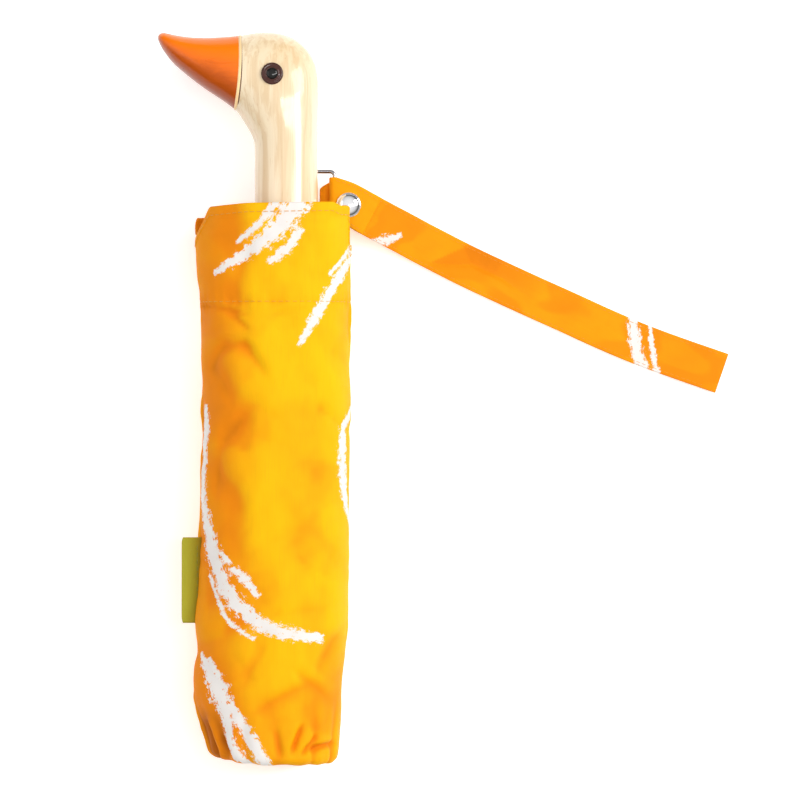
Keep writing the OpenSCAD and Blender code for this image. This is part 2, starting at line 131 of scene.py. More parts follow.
def make_floor():
    bpy.ops.mesh.primitive_plane_add(size=6, location=(0, 0, cad_low.z - 0.0003))
    floor = bpy.context.object
    floor.name = "floor"
    shader = Shader("floor_paper")
    # A light table: its own glow thins the umbrella's shadow and fills the side away from the key
    shader.set(rough=0.9, specular=0.1, glow=0.42)
    shader.colour((0.90, 0.90, 0.90, 1.0))
    shader.body.inputs["Emission Color"].default_value = (1.0, 1.0, 1.0, 1.0)
    floor.data.materials.append(shader.material)


# ---- Shader helper ----

SOCKETS = {
    "rough": "Roughness", "metal": "Metallic", "specular": "Specular IOR Level", "coat": "Coat Weight",
    "coat_rough": "Coat Roughness", "sheen": "Sheen Weight", "sheen_rough": "Sheen Roughness",
    "glow": "Emission Strength"}


class Shader:
    """A Principled material with short calls for the nodes that feed it."""

    def __init__(self, name):
        self.material = bpy.data.materials.new(name)
        self.material.use_nodes = True
        self.tree = self.material.node_tree
        self.body = self.tree.nodes["Principled BSDF"]

    def set(self, **values):
        for name, value in values.items():
            self.body.inputs[SOCKETS[name]].default_value = value

    def node(self, kind, **settings):
        made = self.tree.nodes.new(kind)
        for key, value in settings.items():
            setattr(made, key, value)
        return made

    def link(self, source, target):
        self.tree.links.new(source, target)

    def feed(self, socket, value):
        """Links a socket's source, or sets a plain number or colour."""
        if isinstance(value, bpy.types.NodeSocket):
            self.link(value, socket)
        else:
            socket.default_value = value

    def maths(self, operation, a, b):
        made = self.node("ShaderNodeMath", operation=operation)
        self.feed(made.inputs[0], a)
        self.feed(made.inputs[1], b)
        return made.outputs[0]

    def swing(self, value, centre, gain):
        """How far a value is from its centre, times a gain."""
        return self.maths("MULTIPLY", self.maths("SUBTRACT", value, centre), gain)

    def spread(self, value, low, high, out_low=0.0, out_high=1.0):
        made = self.node("ShaderNodeMapRange", interpolation_type="SMOOTHSTEP")
        self.feed(made.inputs["Value"], value)
        limits = {"From Min": low, "From Max": high, "To Min": out_low, "To Max": out_high}
        for name, number in limits.items():
            made.inputs[name].default_value = number
        return made.outputs[0]

    def mix(self, share, a, b):
        made = self.node("ShaderNodeMix", data_type="RGBA")
        self.feed(made.inputs[0], share)
        self.feed(made.inputs[6], a)
        self.feed(made.inputs[7], b)
        return made.outputs[2]

    def tint(self, colour, value, limits, share, tone):
        """Lays a tone over a colour, up to a share, as a value passes through the limits."""
        return self.mix(self.spread(value, *limits, 0.0, share), colour, (*tone, 1))

    def place(self, kind="Object", scale=(1, 1, 1), turn=(0, 0, 0)):
        """Texture coordinates: Object or UV, scaled and turned."""
        source = self.node("ShaderNodeTexCoord")
        mapping = self.node("ShaderNodeMapping")
        self.link(source.outputs[kind], mapping.inputs["Vector"])
        mapping.inputs["Scale"].default_value = scale
        mapping.inputs["Rotation"].default_value = turn
        return mapping.outputs[0]

    def texture(self, kind, where, numbers, **settings):
        made = self.node(kind, **settings)
        self.link(where, made.inputs["Vector"])
        for name, number in numbers.items():
            made.inputs[name].default_value = number
        return made.outputs["Fac"]

    def noise(self, where, scale, detail=4.0, rough=0.55, warp=0.0):
        return self.texture("ShaderNodeTexNoise", where, {
            "Scale": scale, "Detail": detail, "Roughness": rough, "Distortion": warp})

    def wave(self, where, scale, direction="X", warp=0.0):
        return self.texture("ShaderNodeTexWave", where, {"Scale": scale, "Distortion": warp},
                            bands_direction=direction)

    def ramp(self, value, stops):
        made = self.node("ShaderNodeValToRGB")
        self.feed(made.inputs[0], value)
        while len(made.color_ramp.elements) < len(stops):
            made.color_ramp.elements.new(0.5)
        for element, (place, colour) in zip(made.color_ramp.elements, stops):
            element.position = place
            element.color = (*colour, 1.0)
        return made.outputs[0]

    def attribute(self, name):
        made = self.node("ShaderNodeAttribute", attribute_name=name)
        parts = self.node("ShaderNodeSeparateColor")
        self.link(made.outputs["Color"], parts.inputs[0])
        return parts.outputs

    def factor(self, name):
        return self.node("ShaderNodeAttribute", attribute_name=name).outputs["Fac"]

    def bump(self, height, strength, distance):
        """Adds a bump under any bump that is already there."""
        made = self.node("ShaderNodeBump")
        made.inputs["Strength"].default_value = strength
        made.inputs["Distance"].default_value = distance
        self.link(height, made.inputs["Height"])
        before = self.body.inputs["Normal"].links
        if before:
            self.link(before[0].from_socket, made.inputs["Normal"])
        self.link(made.outputs[0], self.body.inputs["Normal"])

    def colour(self, value):
        self.feed(self.body.inputs["Base Color"], value)

    def roughness(self, value):
        self.feed(self.body.inputs["Roughness"], value)


# ---- Materials ----

YELLOW = (0.98, 0.53, 0.001)
# Painted shade: orange where the cloth lies in shade, brown in the deepest creases
PAINTED_SHADE_ORANGE = (0.86, 0.245, 0.001)
PAINTED_CREASE_BROWN = (0.42, 0.10, 0.001)
PRINT_WHITE = (0.90, 0.87, 0.84)


def cloth(name, base, shade, weave=2600.0, rough=0.62):
    """Plain-woven cloth. Its colour deepens with the 'fold' attribute, as painted shade: orange, and
    brown in the deepest creases. Its white print reads the 'print' attribute: red is how far inside
    a stroke a point is, green runs across the stroke and blue along it."""
    shader = Shader(name)
    uv = shader.place("UV")
    cloudy = shader.noise(uv, 22.0, 3.0)
    colour = shader.tint((*base, 1), cloudy, (0.35, 0.75), 1.0, shade)
    slub = shader.noise(shader.place("UV", scale=(1, 0.06, 1)), 1500.0, 2.0)
    colour = shader.tint(colour, slub, (0.45, 0.8), 0.16, [c * 0.62 for c in shade])
    # Painted shade: the 'fold' value, broken up by noise, turns the cloth orange and, in the deepest
    # creases, brown
    mottle = shader.swing(shader.noise(uv, 45.0, 4.0, 0.6), 0.5, 0.35)
    deep = shader.maths("ADD", shader.factor("fold"), mottle)
    colour = shader.tint(colour, deep, (-0.05, 0.85), 1.0, PAINTED_SHADE_ORANGE)
    colour = shader.tint(colour, deep, (0.8, 1.7), 0.85, PAINTED_CREASE_BROWN)
    inside, across, along = shader.attribute("print")[:3]
    streak_place = shader.node("ShaderNodeCombineXYZ")
    shader.link(across, streak_place.inputs[0])
    shader.link(along, streak_place.inputs[1])
    stretched = shader.node("ShaderNodeMapping")
    shader.link(streak_place.outputs[0], stretched.inputs[0])
    stretched.inputs["Scale"].default_value = (9.0, 2.2, 1.0)
    streaks = shader.noise(stretched.outputs[0], 1.0, 5.0, 0.65, 0.4)
    ragged = shader.noise(uv, 420.0, 6.0, 0.78)
    edge = shader.maths("ADD", inside, shader.swing(ragged, 0.5, 2.9))
    edge = shader.maths("ADD", edge, shader.swing(streaks, 0.56, 1.5))
    ink = shader.mix(shader.noise(uv, 90.0, 3.0), (*PRINT_WHITE, 1), (0.82, 0.76, 0.72, 1))
    shader.colour(shader.mix(shader.spread(edge, 0.24, 0.32), colour, ink))
    threads = shader.maths("MULTIPLY", shader.wave(uv, weave, "X", 0.6), shader.wave(uv, weave, "Y", 0.6))
    shader.bump(threads, 0.35, 0.00008)
    shader.bump(shader.noise(uv, 170.0, 4.0), 0.25, 0.0006)
    shader.roughness(shader.spread(threads, 0.0, 1.0, rough + 0.08, rough - 0.08))
    shader.set(specular=0.12)
    return shader.material


def birch():
    """Pale varnished birch, with its grain along the neck."""
    shader = Shader("varnished_birch")
    rings = shader.noise(shader.place("Object", scale=(1, 0.035, 1)), 420.0, 5.0, 0.6, 0.9)
    broad = shader.noise(shader.place("Object", scale=(1, 0.12, 1)), 90.0, 3.0, 0.5, 0.6)
    fleck = shader.noise(shader.place("Object", scale=(1, 0.05, 1)), 2300.0, 2.0)
    colour = shader.ramp(broad, [
        (0.25, (0.82, 0.62, 0.36)), (0.5, (0.87, 0.70, 0.46)), (0.8, (0.92, 0.79, 0.58))])
    colour = shader.tint(colour, rings, (0.42, 0.62), 0.5, (0.70, 0.46, 0.22))
    shader.colour(shader.tint(colour, fleck, (0.62, 0.75), 0.35, (0.52, 0.30, 0.12)))
    shader.bump(rings, 0.10, 0.0003)
    shader.roughness(shader.spread(fleck, 0.3, 0.8, 0.34, 0.46))
    shader.set(specular=0.5, coat=0.8, coat_rough=0.09)
    return shader.material


def lacquer():
    """Orange lacquer, with painted shade that darkens it to brown towards the bill's lower edge, and darker
    brown near its tip.
    """
    shader = Shader("orange_lacquer")
    # The first value runs from the bill's lower edge to its upper edge: the brown ramp at the lower edge is
    # painted shade
    low, _, tip = shader.attribute("print")[:3]
    mottle = shader.noise(shader.place("Object", scale=(0.3, 1, 1)), 260.0, 4.0, 0.6, 0.8)
    shaded = shader.maths("ADD", low, shader.swing(mottle, 0.5, 0.28))
    colour = shader.ramp(shaded, [
        (0.0, (0.34, 0.052, 0.0)), (0.34, (0.56, 0.09, 0.0)), (0.5, (0.86, 0.155, 0.0)),
        (0.75, (0.96, 0.20, 0.0)), (1.0, (0.92, 0.18, 0.0))])
    shader.colour(shader.tint(colour, tip, (0.72, 1.0), 0.75, (0.22, 0.05, 0.004)))
    shader.bump(shader.noise(shader.place(), 700.0, 3.0), 0.04, 0.0003)
    shader.roughness(shader.spread(mottle, 0.2, 0.8, 0.26, 0.36))
    shader.set(coat=0.28, coat_rough=0.06, specular=0.2)
    return shader.material


def eye_glass(name, deep, lit):
    shader = Shader(name)
    fibre = shader.noise(shader.place(), 1500.0, 3.0)
    shader.colour(shader.mix(fibre, (*deep, 1), (*lit, 1)))
    shader.roughness(shader.spread(fibre, 0.0, 1.0, 0.08, 0.14))
    shader.bump(fibre, 0.03, 0.0001)
    shader.set(coat=0.35, coat_rough=0.02, specular=0.2)
    return shader.material


def metal(name, base, rough, brushed):
    """Plated metal, with fine marks of drawing along the shaft and a little dulling."""
    shader = Shader(name)
    marks = shader.noise(shader.place("Object", scale=(1, 0.02 if brushed else 0.4, 1)), 2600.0, 3.0)
    dull = shader.noise(shader.place(), 130.0, 4.0)
    shader.colour(shader.tint((*base, 1), dull, (0.3, 0.8), 0.5, [c * 0.8 for c in base]))
    shader.roughness(shader.spread(dull, 0.2, 0.8, rough * 0.8, rough * 1.35))
    shader.bump(marks, 0.03, 0.00005)
    shader.set(metal=1.0)
    return shader.material


def plastic(name, base, rough):
    shader = Shader(name)
    grain = shader.noise(shader.place(), 2200.0, 2.0)
    worn = shader.noise(shader.place(), 60.0, 5.0)
    shader.colour(shader.tint((*base, 1), worn, (0.4, 0.8), 0.5, [c * 1.6 + 0.01 for c in base]))
    shader.roughness(shader.spread(worn, 0.2, 0.8, rough - 0.06, rough + 0.1))
    shader.bump(grain, 0.15, 0.0001)
    return shader.material


def woven_label():
    """Ribbed tape, a little frayed, with no lettering."""
    shader = Shader("woven_label")
    uv = shader.place("UV")
    rib = shader.wave(uv, 1300.0, "Y", 0.3)
    fray = shader.noise(uv, 900.0, 3.0)
    colour = shader.mix(shader.maths("MULTIPLY", rib, 0.5), (0.47, 0.44, 0.020, 1), (0.34, 0.32, 0.012, 1))
    shader.colour(shader.tint(colour, fray, (0.5, 0.8), 0.4, (0.46, 0.45, 0.06)))
    shader.bump(rib, 0.5, 0.0001)
    shader.bump(fray, 0.2, 0.0001)
    shader.roughness(shader.spread(fray, 0.0, 1.0, 0.7, 0.85))
    shader.set(sheen=0.2, sheen_rough=0.4)
    return shader.material


def thread(name, base):
    shader = Shader(name)
    twist = shader.wave(shader.place("Object", turn=(0, 0, 0.7)), 2600.0, "DIAGONAL")
    shader.colour(shader.mix(twist, (*base, 1), (*[c * 0.7 for c in base], 1)))
    shader.bump(twist, 0.4, 0.00006)
    shader.roughness(shader.spread(twist, 0.0, 1.0, 0.45, 0.6))
    shader.set(sheen=0.2)
    return shader.material


MATERIALS = {}


def make_materials():
    MATERIALS.update({
        "sleeve_cloth": cloth("sleeve_cloth", YELLOW, (0.97, 0.45, 0.001)),
        "canopy_cloth": cloth("canopy_cloth", YELLOW, (0.93, 0.42, 0.003), 3400.0, 0.5),
        "strap_cloth": cloth("strap_cloth", (0.98, 0.415, 0.001), (0.97, 0.34, 0.001), 2300.0),
        "birch": birch(),
        "lacquer": lacquer(),
        "iris": eye_glass("iris_glass", (0.030, 0.008, 0.006), (0.085, 0.022, 0.015)),
        "pupil": eye_glass("pupil_glass", (0.002, 0.002, 0.002), (0.008, 0.007, 0.006)),
        "cream": plastic("cream_line", (0.86, 0.60, 0.30), 0.4),
        "groove": plastic("dark_groove", (0.10, 0.035, 0.012), 0.5),
        "chrome": metal("polished_chrome", (0.97, 0.97, 0.98), 0.08, False),
        # The ring's chrome is a darker copy, which paints in the dark reflections that the ring shows
        "ring_chrome_dark_reflection": metal("ring_chrome_dark_reflection", (0.42, 0.40, 0.42), 0.10, False),
        "steel": metal("plated_steel", (0.66, 0.67, 0.69), 0.26, True),
        "spring": metal("spring_steel", (0.36, 0.37, 0.40), 0.34, True),
        "black": plastic("black_plastic", (0.018, 0.018, 0.019), 0.42),
        "label": woven_label(),
        "yellow_thread": thread("yellow_thread", (0.93, 0.42, 0.004)),
        "orange_thread": thread("orange_thread", (0.97, 0.37, 0.002)),
        "green_thread": thread("green_thread", (0.36, 0.40, 0.05)),
    })


CAD_FINISH = {
    "black": ("handle_collar", "crown", "runner", "rib_tips", "canopy_washer"),
    "steel": ("lower_tube", "middle_tube", "upper_tube", "stretchers", "top_ribs", "middle_ribs"),
    "spring": ("lower_catch", "middle_catch", "runner_catch", "crown_wire", "runner_wire", "tail_ribs",
               "link_wires", "rib_rivets"),
    "chrome": ("ring_clip", "clip_screws", "snap_stud", "snap_post", "snap_socket"),
    "ring_chrome_dark_reflection": ("strap_ring",)}


def finish_cad_nodes():
    for finish, nodes in CAD_FINISH.items():
        for node in nodes:
            data = NODES[node].data
            data.materials.clear()
            data.materials.append(MATERIALS[finish])


# ---- Mesh helpers ----

def make_piece(name, points, faces, body, finish, replaced=()):
    data = bpy.data.meshes.new(name)
    data.from_pydata([tuple(p) for p in points], [], faces)
    data.validate()
    data.update()
    for polygon in data.polygons:
        polygon.use_smooth = True
    piece = bpy.data.objects.new(name, data)
    bpy.context.scene.collection.objects.link(piece)
    data.materials.append(MATERIALS[finish])
    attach(piece, body)
    if replaced:
        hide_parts(*replaced)
    return piece


def tube_faces(rows, around, cap_first=True, cap_last=True):
    """Quads over rings of points, each ring closed, with a face at either end."""
    faces = [(i * around + j, i * around + (j + 1) % around,
              (i + 1) * around + (j + 1) % around, (i + 1) * around + j)
             for i in range(rows - 1) for j in range(around)]
    if cap_first:
        faces.append(tuple(range(around - 1, -1, -1)))
    if cap_last:
        faces.append(tuple((rows - 1) * around + j for j in range(around)))
    return faces


def facing_out(faces, points):
    """The same faces, turned outwards by the sign of the volume that they enclose."""
    total = 0.0
    for face in faces:
        a = points[face[0]]
        for k in range(1, len(face) - 1):
            total += a.dot(points[face[k]].cross(points[face[k + 1]]))
    return faces if total > 0 else [tuple(reversed(face)) for face in faces]


def rings_piece(name, rings, body, finish, replaced=()):
    points = [p for ring in rings for p in ring]
    faces = facing_out(tube_faces(len(rings), len(rings[0])), points)
    return make_piece(name, points, faces, body, finish, replaced)


def lathe(name, profile, origin, axis, body, finish, replaced=()):
    """A turned piece. The profile is (radius, height) in millimetres, from its foot to its top."""
    turn = Vector((0, 0, 1)).rotation_difference(Vector(axis)).to_matrix()
    rings = []
    for r, h in profile:
        wide = max(r, 0.001) * MM
        rings.append([origin + turn @ Vector((wide * math.cos(spin), wide * math.sin(spin), h * MM))
                      for spin in circle(64)])
    return rings_piece(name, rings, body, finish, replaced)


def through(keys, count):
    """Points on one smooth curve through the keys, at even steps of the keys' own spacing."""
    keys = [np.array(k, float) for k in keys]
    padded = [2 * keys[0] - keys[1]] + keys + [2 * keys[-1] - keys[-2]]
    made = []
    for step in np.linspace(0, len(keys) - 1, count):
        i = min(int(step), len(keys) - 2)
        t = step - i
        a, b, c, d = padded[i:i + 4]
        made.append(0.5 * (2 * b + (c - a) * t + (2 * a - 5 * b + 4 * c - d) * t * t
                           + (3 * b - a - 3 * c + d) * t ** 3))
    return made


def circle(count):
    """Even turns round a circle, from 0."""
    return [2 * math.pi * k / count for k in range(count)]


def outward(turn):
    """The direction away from the shaft at a turn round it, from +X towards +Z."""
    return Vector((math.cos(turn), 0, math.sin(turn)))


def signed_power(value, power):
    return math.copysign(abs(value) ** power, value)


def smoothstep(low, high, value):
    t = min(max((value - low) / (high - low), 0.0), 1.0)
    return t * t * (3 - 2 * t)


def bell(value, width):
    return math.exp(-(value / width) ** 2)


def drift(x, y, z):
    return noise.noise(Vector((x, y, z)))


def stitches(name, route, body, finish, stitch, gap, radius, lift=None):
    """A row of short raised stitches along a route. Each stands up, or along lift at its place."""
    lift = lift or [Vector((0, 0, 1))] * len(route)
    steps = [0.0]
    for a, b in zip(route, route[1:]):
        steps.append(steps[-1] + (b - a).length)

    def spot(length):
        k = min(max(int(np.searchsorted(steps, length)) - 1, 0), len(route) - 2)
        t = (length - steps[k]) / max(steps[k + 1] - steps[k], 1e-9)
        return route[k].lerp(route[k + 1], t), lift[k].lerp(lift[k + 1], t).normalized()

    points, faces = [], []
    start = gap * MM
    while start + stitch * MM < steps[-1]:
        first = len(points)
        for part in (0.0, 0.08, 0.5, 0.92, 1.0):
            centre, up = spot(start + part * stitch * MM)
            ahead = (spot(min(start + (part + 0.1) * stitch * MM, steps[-1]))[0] - centre).normalized()
            side = up.cross(ahead)
            size = radius * MM * (0.35 if part in (0.0, 1.0) else 1.0)
            sunk = 0.9 * radius * MM if part in (0.0, 1.0) else 0.0
            for turn in circle(6):
                points.append(centre + (side * math.cos(turn) + up * math.sin(turn)) * size - up * sunk)
        faces += [tuple(first + index for index in face) for face in tube_faces(5, 6)]
        start += (stitch + gap) * MM
    return make_piece(name, points, faces, body, finish)


# ---- Print ----

def stroke_samples(strokes):
    """Each stroke's points (across, along) with half-widths, sampled along one smooth curve."""
    made = []
    for offset, stroke in enumerate(strokes):
        curve = np.array(through(stroke, 14 * len(stroke)))
        run = np.concatenate([[0], np.cumsum(np.linalg.norm(np.diff(curve[:, :2], axis=0), axis=1))])
        heading = np.gradient(curve[:, :2], axis=0)
        heading /= np.linalg.norm(heading, axis=1)[:, None] + 1e-9
        made.append(np.column_stack([curve, run + 37.0 * offset, heading]))
    return made


def paint(piece, places, strokes, period=None):
    """Stores the strokes on a piece, whose vertices have these places (across, along) in mm."""
    inside = np.full(len(places), -1.5)
    across = np.zeros(len(places))
    along = np.zeros(len(places))
    for samples in stroke_samples(strokes):
        for shift in ((0,) if period is None else (-period, 0, period)):
            gap = places[:, None, :] - (samples[None, :, :2] + np.array([shift, 0.0]))
            distance = np.linalg.norm(gap, axis=2) / samples[None, :, 2]
            nearest = distance.argmin(axis=1)
            rows = np.arange(len(places))
            depth = np.maximum(1.0 - distance[rows, nearest], -1.5)
            hit = samples[nearest]
            side = (gap[rows, nearest, 0] * hit[:, 5] - gap[rows, nearest, 1] * hit[:, 4]) / hit[:, 2]
            better = depth > inside
            inside[better] = depth[better]
            across[better] = side[better]
            along[better] = hit[better, 3] / 10.0
    store_print(piece, inside, across, along)


def store_painted_shade_and_tone(piece, values):
    """How deep in a fold or how far round a slack side each vertex is: the cloth's colour deepens with it,
    as painted shade for the folds and the side turned from the light. A steady value only deepens the tone."""
    layer = piece.data.attributes.new("fold", "FLOAT", "POINT")
    layer.data.foreach_set("value", np.asarray(values, np.float32))


def store_print(piece, red, green, blue):
    layer = piece.data.color_attributes.new("print", "FLOAT_COLOR", "POINT")
    values = np.ones((len(red), 4), np.float32)
    values[:, 0], values[:, 1], values[:, 2] = red, green, blue
    layer.data.foreach_set("color", values.ravel())


def set_uv(piece, places, period=None):
    """UVs in metres, from each vertex's place (across, along) in millimetres. With a period, a
    face on the line where the cloth's count starts again doesn't jump back across it."""
    layer = piece.data.uv_layers.new(name="cloth")
    corners = np.empty(len(piece.data.loops), np.int32)
    piece.data.loops.foreach_get("vertex_index", corners)
    uv = places[corners].copy()
    for polygon in piece.data.polygons if period else ():
        span = slice(polygon.loop_start, polygon.loop_start + polygon.loop_total)
        if polygon.loop_total == 4 and np.ptp(uv[span, 0]) > period / 2:
            uv[span, 0] = np.where(uv[span, 0] < 0, uv[span, 0] + period, uv[span, 0])
    layer.data.foreach_set("uv", (uv * MM).astype(np.float32).ravel())


def cloth_tube(name, rings, closed_start, body, finish, node, places, period, strokes, painted_shade, thick):
    """A printed tube of cloth whose thickness lies inside the rings."""
    points = [p for ring in rings for p in ring]
    faces = facing_out(tube_faces(len(rings), len(rings[0]), closed_start, False), points)
    piece = make_piece(name, points, faces, body, finish, (node,))
    set_uv(piece, places, period)
    paint(piece, places, strokes, period)
    store_painted_shade_and_tone(piece, painted_shade)
    layer = piece.modifiers.new("cloth", "SOLIDIFY")
    layer.thickness = thick * MM
    layer.offset = -1.0
    return piece


# ---- Wrist strap ----

STRAP_W = 16.5
BAR_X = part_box("strap_ring")[1].x - 0.8 * MM
BAR_Z = middle("strap_ring").z
BAR_Y = 0.0804       # where the webbing's middle crosses the bar
WRAP_R = 1.65 * MM   # from the bar's middle to the middle of the webbing round it
# The route of the webbing's middle in metres, with its cross direction's yaw and share of width
STRAP_ROUTE = [
    (0.0322, BAR_Y, 0.00988, 0, 0.95), (0.0372, 0.0780, 0.00988, -14, 0.97),
    (0.0420, 0.0750, 0.00988, -24, 1), (0.0480, 0.0718, 0.0083, -28, 1),
    (0.0540, 0.0687, 0.0061, -28, 1), (0.0600, 0.0656, 0.0040, -28, 1),
    (0.0660, 0.0624, 0.0025, -27, 1), (0.0730, 0.0588, 0.0018, -27, 1),
    (0.0840, 0.0532, 0.0016, -27, 1), (0.0980, 0.0466, 0.0016, -25, 1),
    (0.1120, 0.0402, 0.0016, -24, 1), (0.1260, 0.0339, 0.0016, -24, 1),
    (0.1400, 0.0275, 0.0016, -24, 1), (0.1540, 0.0216, 0.0016, -22, 1),
    (0.1700, 0.0157, 0.0016, -20, 1), (0.1856, 0.0103, 0.0016, -19, 1)]


def webbing_outline(width, layers, layer_t, gap):
    """The webbing's section: each layer with eased edges, and a shallow groove between layers."""
    outline = []
    half = width / 2
    ease = layer_t * 0.35
    total = layers * layer_t + (layers - 1) * gap
    right = []
    for layer in range(layers):
        foot = -total / 2 + layer * (layer_t + gap)
        right += [(half - ease, foot), (half, foot + ease), (half, foot + layer_t - ease),
                  (half - ease, foot + layer_t)]
        if layer < layers - 1:
            right.append((half - 2.2 * ease, foot + layer_t + gap / 2))
    left = [(-x, -z) for x, z in right]
    across = [half * k / 12 for k in range(11, -12, -1)]
    outline += right
    outline += [(x, total / 2) for x in across]
    outline += left
    outline += [(-x, -total / 2) for x in across]
    return outline


def runs_along(route):
    """Distance along a route to each of its points, in millimetres."""
    steps = [math.hypot(b[0] - a[0], b[1] - a[1]) / MM for a, b in zip(route, route[1:])]
    return [0.0, *np.cumsum(steps)]


def on_webbing(spot, q, lift):
    """The place q across from a point of the webbing's route and lifted, both in millimetres."""
    x, y, z, yaw, share = spot
    crosswise = Vector((-math.sin(math.radians(yaw)), math.cos(math.radians(yaw)), 0))
    return Vector((x, y, z)) + crosswise * (q * share * MM) + Vector((0, 0, lift * MM))


def webbing_rings(route, outline, ripple):
    """Sweeps the section along the route. ripple(run, side) lifts the cloth, in millimetres."""
    rings, places = [], []
    for spot, run in zip(route, runs_along(route)):
        rings.append([on_webbing(spot, q, h + (ripple(run, q) if ripple else 0.0)) for q, h in outline])
        places += [(q * spot[4], run) for q, h in outline]
    return rings, np.array(places)


def crease_side(run, side):
    """Distance above the strap's long crease, which climbs across it and then runs along it."""
    return side - np.interp(run, (45.5, 61, 74, 84, 92), (-5.5, 1.9, 1.7, -0.4, -1.5))


def crease_shade(run, side):
    """The wedge of painted shade between the crease and a second fold that leaves it at its near end."""
    second = np.interp(run, (45.5, 54.5, 58), (-5.5, 5.6, 10))
    inside = smoothstep(-0.4, 0.4, crease_side(run, side)) * smoothstep(0.5, -0.5, side - second)
    return inside * smoothstep(44, 46, run) * (1 - smoothstep(70, 92, run))


def strap_ripple(run, side):
    """Soft waves of a limp strap, and the crease a third of the way along."""
    lying = smoothstep(42, 60, run)
    wave = 0.22 * math.sin(run / 9.0 + side / 7.0) + 0.15 * math.sin(run / 4.3 - side / 3.0)
    crease = 0.6 * bell(crease_side(run, side), 1.0) * bump_between(run, 52, 74, 14)
    return max(lying * wave, -0.35) * 0.8 + crease


def make_strap():
    route = [tuple(p) for p in through(STRAP_ROUTE, 200)]
    outline = webbing_outline(STRAP_W, 2, 0.98, 0.08)
    rings, places = webbing_rings(route, outline, strap_ripple)
    # Before the bar the webbing's lower corner reaches through the ring towards the neck
    corner = []
    for p, (q, run) in zip(rings[0], places[:len(outline)]):
        reach = 6.6 * smoothstep(8.5, 3.0, q)
        corner.append(Vector((p.x - reach * MM, p.y - 0.3 * MM, p.z - 0.2 * MM)))
    middle_ring = [a.lerp(b, 0.5) + Vector((0, 0, 0.1 * MM)) for a, b in zip(corner, rings[0])]
    rings = [corner, middle_ring] + rings
    near = places[:len(outline)]
    places = np.vstack([near - (0, 6.5), near - (0, 3.2), places])
    # The far end is the webbing's fold, so its last rings close round it
    ahead = (Vector(route[-1][:3]) - Vector(route[-2][:3])).normalized()
    centre_z = route[-1][2]
    for grow, squeeze in ((0.5, 0.86), (0.85, 0.5)):
        ring = [Vector((p.x, p.y, centre_z + (p.z - centre_z) * squeeze)) + ahead * grow * MM
                for p in rings[-1]]
        places = np.vstack([places, places[-len(ring):] + (0, grow)])
        rings.append(ring)
    strap = rings_piece("wrist_strap_webbing", rings, "strap", "strap_cloth", ("wrist_strap",))
    set_uv(strap, places)
    # Painted shade in the crease's wedge and in the ripples' valleys, over a steady deeper tone that grows
    # towards the far end and has patches at random
    store_painted_shade_and_tone(strap, [0.36 + 0.12 * smoothstep(118, 160, run) + 0.5 * crease_shade(run, q)
                       + 0.22 * smoothstep(0.0, 0.16, drift(run * 0.055, q * 0.11, 9.0))
                       + 0.3 * max(-strap_ripple(run, q), 0) for q, run in places])
    # Strokes in (across, along) millimetres: one near the ring and a broad one near the end
    paint(strap, places, [
        [(-9.5, 21, 1.9), (-6.2, 25.2, 2.7), (-1.8, 29.6, 1.7)],
        [(9.5, 128.5, 3.0), (4, 131, 3.4), (-4, 136, 3.4), (-9.5, 140.5, 3.4)],
        [(8, 136.5, 1.3), (2, 139.5, 1.6), (-9, 146, 1.8)]])
    path = [p[:3] for p in route]
    path[-1] = tuple(Vector(route[-1][:3]) + ahead * 0.8 * MM)
    # The stitch lines start clear of the snap and run along both edges
    first = 16
    start = math.hypot(route[first][0] - route[0][0], route[first][1] - route[0][1]) / MM
    stitched = route[first:-2]
    for sign, name in ((1, "upper"), (-1, "lower")):
        q = sign * (STRAP_W / 2 - 1.3)
        line = [on_webbing(spot, q, strap_ripple(run + start, q) + 1.05)
                for spot, run in zip(stitched, runs_along(stitched))]
        stitches(f"strap_{name}_stitches", line, "strap", "orange_thread", 1.7, 0.7, 0.09)


def make_flap():
    """The webbing's end: round the ring's bar and back over the strap, with the snap's cap."""
    top_z = BAR_Z + WRAP_R
    keys = [(BAR_X, BAR_Y, top_z, 0, 0.95), (0.0372, 0.0780, top_z, -14, 0.97),
            (0.0420, 0.0750, top_z, -24, 1), (0.0466, 0.0725, 0.0118, -28, 1)]
    route = [tuple(p) for p in through(keys, 26)]
    outline = webbing_outline(STRAP_W, 1, 1.0, 0)
    rings, places = webbing_rings(route, outline, None)
    wrapped = []
    for degrees in range(262, 96, -9):
        out = outward(math.radians(degrees))
        centre = Vector((BAR_X, BAR_Y, BAR_Z)) + out * WRAP_R
        wrapped.append([centre + Vector((0, q * 0.93 * MM, 0)) + out * (h * MM) for q, h in outline])
    wrap_places = [(q, k * 0.26 - 5) for k in range(len(wrapped)) for q, h in outline]
    places = np.vstack([np.array(wrap_places), places])
    flap = rings_piece("strap_flap_webbing", wrapped + rings, "flap", "strap_cloth",
                       ("strap_flap",))
    set_uv(flap, places)
    store_painted_shade_and_tone(flap, [0.26] * len(places))
    # The print's nearest stroke passes beside the flap
    paint(flap, places, [[(-30, 0, 1), (-30, 5, 1)]])
    for line_name, share in (("a", 0.42), ("b", -0.42)):
        line = [on_webbing(spot, share * STRAP_W, 0.52) for spot in route]
        stitches(f"flap_stitches_{line_name}", line, "flap", "orange_thread", 1.7, 0.7, 0.12)
    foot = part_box("snap_cap")[0]
    centre = middle("snap_cap")
    lathe("snap_cap_dome", [
        (0, 0), (4.9, 0), (5.0, 0.25), (4.95, 0.6), (4.7, 0.85), (4.35, 0.9), (4.2, 1.05), (3.8, 1.45),
        (3.1, 1.8), (2.1, 2.06), (1.0, 2.2), (0, 2.24)],
        Vector((centre.x, centre.y, foot.z)), (0, 0, 1), "flap", "chrome", ("snap_cap",))


# ---- Duck head ----

